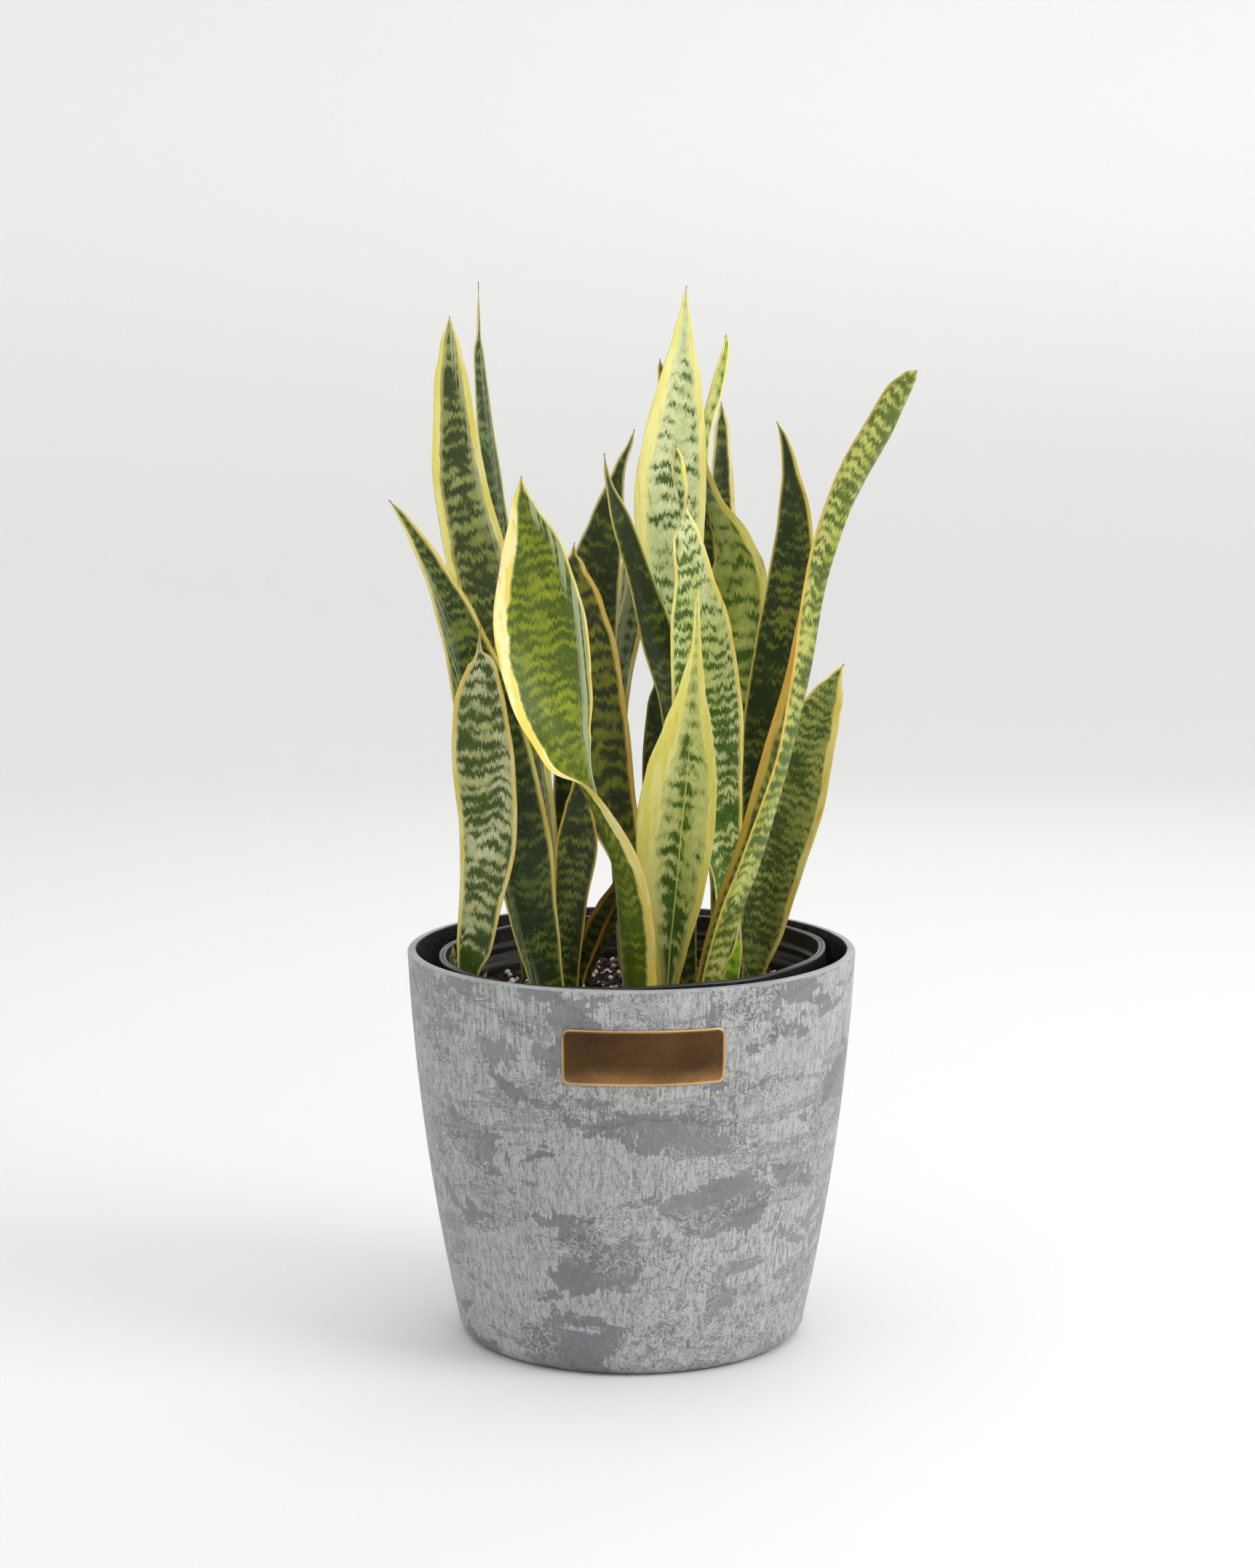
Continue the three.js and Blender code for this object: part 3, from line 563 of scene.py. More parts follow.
# Points on each midrib and the blade there: (x, y, z, width, facing, fold). x and y are from the
# grower pot's axis and z from the soil, in mm. Facing is in degrees from -Y towards +X, and fold is
# the channel's depth as a share of half the width. These rows repeat the CAD's. They were computed
# by a program from measured outlines, not chosen by hand.
LEAVES = {
    "leaf_front_left": [
        (-101, -38, -18, 11, -15, 0.45), (-105, -41, 20, 14, -15, 0.45), (-100, -43, 42, 24, -15, 0.4),
        (-96, -46, 66, 28, -15, 0.3), (-89, -51, 112, 38, -15, 0.2), (-90, -59, 160, 42, -15, 0.16),
        (-91, -65, 198, 36, -15, 0.15), (-89, -68, 225, 21, -20, 0.2), (-91, -69, 236, 4, -20, 0.2),
        (-90, -70, 252, 0, -20, 0.2),
    ],
    "leaf_left_lean": [
        (-55, -31, -18, 19, 21, 0.5), (-57, -31, 11, 23, 21, 0.5), (-65, -32, 58, 33, 21, 0.4),
        (-72, -32, 110, 41, 18, 0.3), (-89, -34, 188, 42, 16, 0.25), (-105, -38, 246, 27, 16, 0.25),
        (-121, -45, 288, 15, 16, 0.25), (-137, -52, 318, 6, 11, 0.3), (-146, -56, 331, 0, 11, 0.3),
    ],
    "leaf_left_tall": [
        (-55, 8, -18, 13, -14, 0.5), (-56, 8, 10, 16, -14, 0.5), (-60, 8, 64, 29, -14, 0.35),
        (-67, 9, 118, 43, -14, 0.25), (-77, 13, 195, 45, -14, 0.2), (-91, 18, 271, 44, -14, 0.15),
        (-104, 24, 334, 37, -14, 0.12), (-108, 30, 392, 26, -14, 0.12), (-109, 34, 424, 14, -14, 0.15),
        (-109, 36, 437, 5, -14, 0.2), (-109, 36, 444, 0, -14, 0.2),
    ],
    "leaf_left_needle": [
        (-69, 48, -18, 12, 30, 0.5), (-70, 48, 7, 15, 30, 0.5), (-72, 49, 72, 21, 35, 0.4),
        (-76, 51, 170, 28, 40, 0.3), (-84, 54, 268, 30, 45, 0.3), (-87, 57, 326, 21, 50, 0.3),
        (-91, 61, 376, 16, 52, 0.3), (-93, 65, 416, 11, 52, 0.3), (-92, 66, 433, 4, 52, 0.3),
        (-91, 68, 466, 0, 52, 0.3),
    ],
    "leaf_front_twist": [
        (4, -77, -18, 20, 150, 0.5), (2, -78, 18, 25, 150, 0.5), (-3, -80, 73, 38, 125, 0.35),
        (-8, -82, 100, 45, 112, 0.3), (-26, -82, 145, 52, 92, 0.25), (-42, -82, 173, 56, 57, 0.22),
        (-49, -81, 210, 59, 28, 0.2), (-53, -82, 254, 59, 10, 0.18), (-55, -84, 296, 41, 0, 0.18),
        (-60, -86, 325, 18, 0, 0.25), (-61, -88, 338, 6, 0, 0.3), (-61, -88, 346, 0, 0, 0.3),
    ],
    "leaf_mid_left_low": [
        (-43, -18, -18, 12, 12, 0.5), (-43, -18, 13, 15, 12, 0.5), (-40, -18, 62, 22, 12, 0.4),
        (-35, -18, 100, 28, 12, 0.35), (-33, -17, 126, 18, 12, 0.3), (-33, -17, 141, 7, 12, 0.3),
        (-32, -16, 158, 0, 12, 0.3),
    ],
    "leaf_mid_left": [
        (2, 5, -18, 12, 22, 0.5), (1, 5, 9, 15, 22, 0.5), (-2, 6, 78, 20, 22, 0.4),
        (-12, 7, 119, 35, 22, 0.3), (-23, 8, 172, 49, 22, 0.25), (-29, 11, 221, 50, 22, 0.2),
        (-31, 14, 255, 36, 22, 0.2), (-32, 16, 280, 15, 22, 0.25), (-32, 18, 289, 4, 22, 0.3),
        (-31, 18, 296, 0, 22, 0.3),
    ],
    "leaf_back_mid_dark": [
        (-39, 55, -18, 11, -18, 0.5), (-38, 55, 20, 13, -18, 0.5), (-36, 56, 76, 23, -18, 0.4),
        (-34, 58, 129, 31, -18, 0.3), (-24, 63, 207, 38, -18, 0.25), (-17, 68, 272, 35, -20, 0.22),
        (-9, 72, 306, 24, -23, 0.22), (0, 75, 340, 9, -28, 0.25), (7, 77, 356, 4, -28, 0.3),
        (10, 78, 366, 0, -28, 0.3),
    ],
    "leaf_mid_dark": [
        (34, 14, -18, 13, 28, 0.5), (34, 14, 12, 16, 28, 0.5), (34, 13, 66, 19, 28, 0.4),
        (36, 9, 130, 23, 28, 0.3), (31, 6, 191, 24, 28, 0.3), (21, 2, 232, 25, 28, 0.25),
        (10, -2, 274, 18, 28, 0.3), (0, -4, 308, 15, 28, 0.3), (-8, -6, 336, 5, 28, 0.35),
        (-10, -7, 355, 0, 28, 0.35),
    ],
    "leaf_back_mid_a": [
        (-1, 78, -18, 12, -30, 0.5), (-2, 78, 20, 15, -30, 0.5), (-5, 79, 90, 16, -30, 0.4),
        (-7, 82, 160, 19, -30, 0.3), (-3, 83, 197, 19, -30, 0.25), (4, 85, 231, 20, -30, 0.2),
        (10, 86, 263, 15, -30, 0.2), (14, 88, 295, 0, -30, 0.2),
    ],
    "leaf_back_mid_b": [
        (-4, 98, -18, 10, 22, 0.5), (-4, 98, 19, 13, 22, 0.5), (-7, 99, 87, 14, 22, 0.4),
        (-7, 101, 162, 14, 22, 0.3), (-2, 104, 227, 14, 22, 0.2), (2, 106, 264, 11, 22, 0.2),
        (3, 108, 292, 0, 22, 0.2),
    ],
    "leaf_back_centre_tall": [
        (24, 48, -18, 11, 9, 0.5), (24, 48, 10, 13, 9, 0.5), (27, 47, 95, 17, 9, 0.4),
        (30, 45, 174, 23, 9, 0.3), (32, 44, 223, 31, 9, 0.22), (31, 43, 276, 43, 9, 0.18),
        (32, 41, 324, 48, 9, 0.15), (36, 39, 363, 41, 9, 0.15), (40, 37, 396, 29, 9, 0.15),
        (43, 36, 427, 14, 9, 0.2), (45, 35, 450, 4, 9, 0.25), (46, 35, 460, 0, 9, 0.25),
    ],
    "leaf_mid_low_dark": [
        (22, 26, -18, 14, -30, 0.5), (22, 26, 10, 18, -30, 0.5), (22, 27, 79, 22, -30, 0.4),
        (23, 29, 142, 26, -30, 0.3), (24, 31, 183, 20, -30, 0.3), (25, 31, 201, 11, -30, 0.3),
        (26, 32, 223, 0, -30, 0.3),
    ],
    "leaf_front_centre": [
        (22, -49, -18, 14, -22, 0.6), (24, -50, 15, 18, -22, 0.6), (26, -51, 39, 29, -25, 0.5),
        (31, -54, 81, 48, -27, 0.42), (35, -57, 119, 56, -28, 0.38), (39, -60, 152, 51, -28, 0.36),
        (42, -63, 183, 34, -26, 0.34), (44, -64, 210, 17, -22, 0.32), (46, -65, 234, 7, -12, 0.3),
        (47, -67, 260, 3, -5, 0.3), (49, -68, 277, 0, -5, 0.3),
    ],
    "leaf_centre_blotched": [
        (62, 2, -18, 12, 20, 0.5), (62, 2, 14, 15, 20, 0.5), (63, 0, 73, 20, 20, 0.4),
        (54, -6, 128, 40, 15, 0.3), (52, -14, 184, 47, 12, 0.25), (49, -20, 238, 41, 10, 0.22),
        (45, -23, 277, 25, 12, 0.22), (40, -24, 301, 22, 35, 0.3), (39, -25, 320, 15, 90, 0.4),
        (37, -25, 340, 11, 150, 0.4), (37, -25, 352, 7, 170, 0.4), (36, -25, 360, 0, 170, 0.4),
    ],
    "leaf_back_right_twist": [
        (63, 61, -18, 18, 175, 0.5), (64, 61, 17, 22, 175, 0.5), (71, 61, 107, 34, 172, 0.3),
        (74, 62, 190, 42, 170, 0.2), (76, 63, 259, 42, 158, 0.18), (72, 62, 287, 39, 130, 0.2),
        (58, 61, 320, 36, 104, 0.22), (54, 60, 359, 30, 80, 0.25), (62, 59, 392, 23, 70, 0.3),
        (70, 59, 417, 12, 66, 0.3), (72, 59, 428, 0, 66, 0.3),
    ],
    "leaf_back_right_small": [
        (60, 86, -18, 11, 12, 0.5), (63, 96, 15, 13, 12, 0.5), (65, 97, 101, 18, 12, 0.4),
        (66, 99, 186, 21, 12, 0.3), (67, 102, 265, 21, 12, 0.2), (68, 105, 317, 17, 12, 0.2),
        (69, 107, 359, 11, 12, 0.2), (69, 108, 374, 5, 12, 0.25), (69, 108, 382, 0, 12, 0.25),
    ],
    "leaf_back_centre_dark": [
        (63, 80, -18, 11, -10, 0.5), (63, 80, 21, 14, -10, 0.5), (64, 80, 74, 20, -10, 0.4),
        (61, 81, 163, 26, -10, 0.3), (54, 83, 238, 27, -10, 0.2), (50, 85, 294, 28, -10, 0.2),
        (42, 87, 350, 25, -10, 0.2), (33, 88, 387, 12, -10, 0.25), (29, 89, 404, 5, -10, 0.3),
        (28, 90, 412, 0, -10, 0.3),
    ],
    "leaf_right_dark": [
        (79, 52, -18, 14, -28, 0.5), (80, 52, 8, 18, -28, 0.5), (92, 50, 88, 32, -28, 0.4),
        (98, 48, 167, 39, -28, 0.3), (106, 45, 219, 39, -28, 0.25), (113, 41, 268, 34, -28, 0.22),
        (115, 36, 306, 25, -26, 0.22), (112, 33, 339, 12, -23, 0.25), (108, 31, 359, 6, -18, 0.3),
        (103, 30, 371, 0, -18, 0.3),
    ],
    "leaf_right_long": [
        (51, -56, -18, 16, -83, 1.3), (56, -56, 16, 20, -83, 1.3), (70, -56, 61, 22, -82, 1.3),
        (84, -55, 97, 23, -80, 1.25), (103, -53, 159, 24, -72, 1.1), (117, -50, 214, 22, -84, 1.1),
        (127, -47, 265, 22, -96, 1.1), (138, -44, 300, 26, -120, 0.75), (151, -41, 336, 26, -135, 0.5),
        (169, -38, 369, 24, -140, 0.4), (178, -36, 387, 21, -140, 0.35), (186, -35, 399, 12, -140, 0.3),
        (190, -35, 404, 0, -140, 0.3),
    ],
    "leaf_right_low": [
        (82, 22, -18, 13, -24, 0.5), (82, 22, 4, 16, -24, 0.5), (90, 21, 39, 32, -26, 0.4),
        (101, 18, 83, 40, -29, 0.3), (113, 16, 122, 42, -29, 0.25), (123, 16, 165, 37, -29, 0.2),
        (133, 16, 189, 24, -29, 0.2), (139, 17, 203, 9, -24, 0.25), (144, 17, 212, 0, -24, 0.25),
    ],
    "pup_right": [
        (60, -22, -18, 9, 30, 0.5), (63, -22, 10, 12, 30, 0.5), (65, -22, 21, 12, 30, 0.5),
        (68, -22, 29, 8, 30, 0.45), (70, -21, 39, 4, 30, 0.4), (70, -21, 52, 0, 30, 0.4),
    ],
    "leaf_centre_low_fold": [
        (-33, 22, -18, 13, -60, 1.2), (-28, 22, 8, 16, -60, 1.2), (-21, 22, 21, 18, -60, 1.5),
        (-13, 22, 36, 19, -60, 1.6), (-8, 22, 51, 17, -60, 1.4), (-4, 21, 69, 10, -60, 1),
        (-3, 21, 83, 0, -60, 1),
    ],
    "sprout_left": [
        (-106, 5, -18, 2, 0, 0.4), (-118, 5, 19, 3, 0, 0.4), (-118, 5, 26, 3, 0, 0.4),
        (-118, 5, 33, 0, 0, 0.4),
    ],
    "sprout_front": [
        (-103, 0, -18, 2, 0, 0.4), (-98, 0, 10, 2, 0, 0.4), (-97, 0, 12, 2, 0, 0.4),
        (-96, 0, 15, 0, 0, 0.4),
    ],
}

# Each rhizome's centre line, [x, y] in mm.
RHIZOMES = {
    "rhizome_left": [[-98, -40], [-104, 10]],
    "rhizome_left_mid": [[-50, -46], [-52, 8], [-62, 46]],
    "rhizome_front": [[0, -76], [30, -50]],
    "rhizome_mid": [[-35, -14], [0, 5], [30, 12]],
    "rhizome_back": [[-34, 56], [0, 80], [30, 60]],
    "rhizome_right": [[52, -52], [70, -20], [78, 30], [80, 50]],
}


def catmull_rom(points, tension, t):
    """A uniform Catmull-Rom curve through all the points, ends extended straight, at t in 0 to 1."""
    p = np.asarray(points, dtype=float)
    p = np.vstack([2 * p[0] - p[1], p, 2 * p[-1] - p[-2]])
    place = np.clip(np.asarray(t), 0, 1) * (len(p) - 3)
    k = np.minimum(place.astype(int), len(p) - 4)
    f = (place - k)[:, None]
    a, b, c, d = p[k], p[k + 1], p[k + 2], p[k + 3]
    m0, m1 = tension * (c - a), tension * (d - b)
    return b + m0 * f + (3 * (c - b) - 2 * m0 - m1) * f ** 2 + (2 * (b - c) + m0 + m1) * f ** 3


def unit(v):
    return v / np.linalg.norm(v, axis=-1, keepdims=True)


def distances(points):
    """How far along a line of points each of them is."""
    return np.concatenate([[0], np.cumsum(np.linalg.norm(np.diff(points, axis=0), axis=1))])


def ripple(values, pace, seed):
    """Smooth noise from -1 to 1 along a list of distances in mm."""
    return np.array([mnoise.noise(Vector((v * pace, seed, 0.37))) for v in values])


RING_POINTS = 40
STATIONS_PER_ROW = 12
ARC_STEPS = 40          # for measuring the way across a channelled blade
CHANNEL_POWER = 1.6     # 1 folds the blade into a V, 2 curves it evenly
TIP_WIDTH = 0.7
SPINE_TENSION = 0.5
SHAPE_TENSION = 0.3
RIPPLE_PACE = 0.045
EDGE_RIPPLE = 0.35      # mm that a wide blade's edges wave


def blade(rows, seed):
    """(vertices in the soil's frame, faces, attributes) of one channelled blade, closed at both ends."""
    steps = (len(rows) - 1) * STATIONS_PER_ROW
    share = np.linspace(0, 1, steps + 1)
    spine = catmull_rom([r[:3] for r in rows], SPINE_TENSION, share)
    shape = catmull_rom([r[3:] for r in rows], SHAPE_TENSION, share)
    along = distances(spine) - ROOT_DEPTH
    tangent = unit(np.gradient(spine, axis=0))
    angle = np.radians(shape[:, 1])
    normal = np.column_stack([np.sin(angle), -np.cos(angle), np.zeros_like(angle)])
    normal = unit(normal - tangent * np.sum(normal * tangent, axis=1, keepdims=True))
    sideways = np.cross(tangent, normal)
    half = np.maximum(shape[:, 0], TIP_WIDTH) / 2
    half = half * (1 + 0.012 * ripple(along, 0.05, seed))
    fold = shape[:, 2]
    full = LEAF_THICKNESS * (1.35 - 1.15 * share + 0.35 * share ** 2)
    thick = np.minimum(full, 1.24 * half)

    turn = np.linspace(0, 2 * math.pi, RING_POINTS, endpoint=False)
    u, lift = np.sin(turn), np.cos(turn)
    side = np.outer(half, u)
    channel = (fold * half)[:, None] * np.abs(u)[None, :] ** CHANNEL_POWER
    right_ripple = ripple(along, RIPPLE_PACE, seed + 5)[:, None]
    left_ripple = ripple(along, RIPPLE_PACE, seed + 9)[:, None]
    crinkle = np.where(u > 0, right_ripple, left_ripple)
    channel = channel + EDGE_RIPPLE * np.minimum(half / 12, 1)[:, None] * crinkle * np.abs(u) ** 3
    rib = 0.12 * thick[:, None] * np.exp(-(u / 0.09) ** 2)[None, :]
    depth = channel + lift[None, :] * (thick[:, None] / 2 + rib * (lift < 0))
    verts = spine[:, None, :] + sideways[:, None, :] * side[..., None]
    verts = (verts + normal[:, None, :] * depth[..., None]).reshape(-1, 3)

    grid = np.linspace(0, 1, ARC_STEPS + 1)
    slope = CHANNEL_POWER * fold[:, None] * grid[None, :] ** (CHANNEL_POWER - 1)
    arc_share = np.concatenate(
        [np.zeros((len(fold), 1)), np.cumsum(np.sqrt(1 + slope[:, 1:] ** 2), axis=1)], axis=1) / ARC_STEPS
    arc_length = np.array([np.interp(np.abs(u), grid, row) for row in arc_share]) * half[:, None]
    arc_full = (arc_share[:, -1] * half)[:, None]
    spread = np.ones_like(arc_length)
    attributes = {
        "across": np.sign(u) * arc_length,
        "edge": arc_full - arc_length,
        "half": arc_full * spread,
        "along": along[:, None] * spread,
        "share": share[:, None] * spread,
        "face": lift[None, :] * spread,
    }

    faces = ring_faces(0, steps + 1, RING_POINTS) + end_faces(0, steps + 1, RING_POINTS)
    return verts, faces, {k: v.reshape(-1) for k, v in attributes.items()}


# ---------------------------------------------------------------- leaves: colour

CREAM = (232, 220, 160)
YELLOW = (222, 196, 88)
GOLD = (206, 158, 66)
BROWN_EDGE = (150, 104, 52)

LEAF_DEFAULTS = {
    "ground": ((150, 166, 112), (132, 152, 92)),   # pale blade colour, and what it varies to
    "dark": ((58, 84, 36), (44, 62, 30)),          # cross bands and blotches, and what they vary to
    "cover": 0.5,                                  # how much of the blade the dark takes
    "period": 9.0,                                 # mm from one cross band to the next
    "regular": 0.62,                               # how much the bands count against the blotches
    "zigzag": 7.0,                                 # mm that a band wanders up and down
    "teeth": 6.0,                                  # mm of the streaks at a band's edges
    "soft": 0.035,
    "grain": 0.2,
    "midrib": 0.0,                                 # extra dark along the midrib
    "margins": (3.0, 3.0),                         # mm, left and right of the inner face
    "margin_cap": 0.36,                            # of half the blade's width
    "foot_margin": 0.4,                            # share of the margins that is left at the soil
    "tip_margin": 1.0,                             # and in the upper half
    "margin_colours": (CREAM, YELLOW, GOLD),
    "fade": 1.6,                                   # mm of paler green beside the margins
    "stripes": 0.0,                                # pale lengthwise stripes beside the margins
    "stripe_side": 0,                              # -1 left, 1 right, 0 both
    "midline": 0.0,                                # pale line on the midrib
    "foot_dark": 0.0,                              # extra dark towards the soil
    "tip_dark": 0.0,                               # extra dark towards the tip
}


def leaf_material(name, seed, **changes):
    look = {**LEAF_DEFAULTS, **changes}
    g = Graph(name)
    across, along, edge = g.attribute("across"), g.attribute("along"), g.attribute("edge")
    half, share, face = g.attribute("half"), g.attribute("share"), g.attribute("face")
    layer = g.scale_add(face, 1.2, seed * 3.7)

    def field(fx, fy, offset, detail=2.0, roughness=0.55, height=along):
        place = g.vector(g.mul(across, fx), g.mul(height, fy), g.add(layer, offset))
        return g.noise(place, 1, detail, roughness)

    def centred(value, amount):
        return g.scale_add(value, amount, -amount / 2)

    wander = centred(field(0.1, 0.025, 1.0, 2), look["zigzag"])
    teeth = centred(field(0.95, 0.06, 2.0, 3, 0.85), look["teeth"] * 2.8)
    height = g.add(along, g.add(wander, teeth))
    drift = field(0.05, 0.014, 7.0, 2)
    phase = g.scale_add(height, 1 / look["period"], g.mul(drift, 2.4))
    wave = g.scale_add(g.math("SINE", g.mul(phase, 2 * math.pi)), 0.5, 0.5)
    broken = g.step(field(0.07, 0.04, 3.0, 3, 0.55), 0.32, 0.68)
    blotches = g.step(field(0.045, 0.12, 4.0, 3, 0.6, height), 0.3, 0.7)
    grain = field(1.7, 0.6, 5.0, 3, 0.7)
    regular = look["regular"]
    uneven = g.add(g.mul(broken, 0.45 * regular), g.mul(blotches, 1 - regular))
    tone = g.add(g.mul(wave, 0.55 * regular), uneven)
    tone = g.add(tone, centred(grain, look["grain"] * 2))
    if look["midrib"]:
        near = g.step(g.math("DIVIDE", g.math("ABSOLUTE", across), half), 0.5, 0.0)
        tone = g.scale_add(near, look["midrib"], tone)
    if look["foot_dark"]:
        tone = g.scale_add(g.step(share, 0.45, 0.1), look["foot_dark"], tone)
    if look["tip_dark"]:
        tone = g.scale_add(g.step(share, 0.7, 0.95), look["tip_dark"], tone)
    threshold = 0.5 + (0.5 - look["cover"]) * 0.55
    dark = g.step(tone, threshold - look["soft"], threshold + look["soft"])
    halfway = g.step(tone, threshold - 0.17, threshold - 0.06)

    ground_colour = g.mix(g.step(drift, 0.35, 0.65), rgb(*look["ground"][0]), rgb(*look["ground"][1]))
    dark_colour = g.mix(blotches, rgb(*look["dark"][0]), rgb(*look["dark"][1]))
    veins = field(2.2, 0.008, 8.0, 2, 0.5)
    cloud = g.step(field(0.3, 0.2, 10.0, 3, 0.6), 0.35, 0.65)
    veined = g.step(veins, 0.45, 0.65)
    ground_colour = g.mix(g.mul(veined, 0.3), ground_colour, rgb(216, 220, 186), "SOFT_LIGHT")
    ground_colour = g.mix(g.mul(cloud, 0.22), ground_colour, dark_colour)
    colour = g.mix(g.mul(halfway, 0.35), ground_colour, dark_colour)
    colour = g.mix(dark, colour, dark_colour)
    freckles = g.step(grain, 0.6, 0.68)
    colour = g.mix(g.mul(freckles, 0.3), colour, dark_colour)
    pits = g.step(field(1.3, 0.8, 16.0, 2, 0.5), 0.62, 0.7)
    colour = g.mix(g.mul(pits, 0.3), colour, ground_colour)

    if look["stripes"]:
        lines = g.step(field(0.75, 0.002, 9.0, 2, 0.5), 0.48, 0.56)
        zone = g.step(edge, 11.0, 5.0)
        if look["stripe_side"]:
            zone = g.mul(zone, g.step(g.mul(across, look["stripe_side"]), -0.5, 0.5))
        pale = g.mix(veins, rgb(136, 148, 112), rgb(192, 198, 164))
        colour = g.mix(g.mul(g.mul(lines, zone), look["stripes"]), colour, pale)
    if look["midline"]:
        line = g.step(g.math("ABSOLUTE", across), 0.75, 0.35)
        low = g.step(share, 0.75, 0.4)
        colour = g.mix(g.mul(g.mul(line, low), look["midline"]), colour, rgb(206, 204, 120))

    left, right = look["margins"]
    wide = g.scale_add(g.step(across, -0.5, 0.5), right - left, left)
    wobble = centred(g.noise(g.vector(0.0, g.mul(along, 0.06), seed * 2.3), 1, 3, 0.6), 0.9)
    low_part = g.scale_add(g.step(share, 0.08, 0.42), 1 - look["foot_margin"], look["foot_margin"])
    high_part = g.scale_add(g.step(share, 0.5, 0.68), look["tip_margin"] - 1, 1.0)
    wide = g.mul(g.scale_add(wide, wobble, wide), g.mul(low_part, high_part))
    wide = g.math("MINIMUM", wide, g.mul(half, look["margin_cap"]))
    inward = g.math("SUBTRACT", edge, wide)
    margin = g.step(inward, 0.3, -0.2)
    fade = g.mul(g.step(inward, look["fade"], look["fade"] * 0.3), 0.55)
    first, second, third = (rgb(*c) for c in look["margin_colours"])
    yellowing = field(0.10, 0.028, 11.0, 3, 0.6)
    spots = field(0.35, 0.06, 12.0, 3, 0.6)
    margin_colour = g.mix(g.step(yellowing, 0.42, 0.6), first, second)
    margin_colour = g.mix(g.mul(g.step(spots, 0.58, 0.7), 0.7), margin_colour, third)
    margin_colour = g.mix(g.mul(veined, 0.25), margin_colour, first)
    margin_colour = g.mix(g.mul(g.step(share, 0.4, 0.08), 0.65), margin_colour, rgb(208, 182, 62))
    colour = g.mix(fade, colour, g.mix(0.5, ground_colour, first))
    colour = g.mix(margin, colour, margin_colour)
    rim = g.mul(g.step(edge, 0.5, 0.1), g.step(spots, 0.38, 0.6))
    colour = g.mix(g.mul(rim, 0.6), colour, rgb(*BROWN_EDGE))
    colour = g.mix(g.mul(g.step(share, 0.965, 0.995), 0.8), colour, rgb(52, 56, 28))
    specks = g.step(field(0.9, 0.6, 13.0, 1, 0.5), 0.73, 0.76)
    colour = g.mix(g.mul(specks, 0.35), colour, rgb(176, 150, 96))

    ridges = field(1.3, 0.015, 14.0, 3, 0.6)
    pores = field(3.5, 3.0, 15.0, 2, 0.6)
    rough = g.scale_add(ridges, 0.18, g.scale_add(grain, 0.16, 0.26))
    normal = g.bump(g.add(ridges, g.add(g.mul(pores, 0.25), g.mul(dark, 0.12))), 0.00035, 0.45)
    return g.finish(colour, rough, normal, Specular_IOR_Level=0.3)


MOSS = dict(ground=((116, 130, 52), (96, 112, 40)), dark=((46, 62, 16), (34, 48, 12)), cover=0.58, period=8)
DEEP = dict(ground=((116, 126, 46), (92, 106, 34)), dark=((46, 58, 16), (34, 46, 10)), cover=0.66, period=8)
PALE = dict(ground=((198, 208, 140), (172, 190, 110)), dark=((84, 114, 30), (60, 90, 20)), cover=0.28)

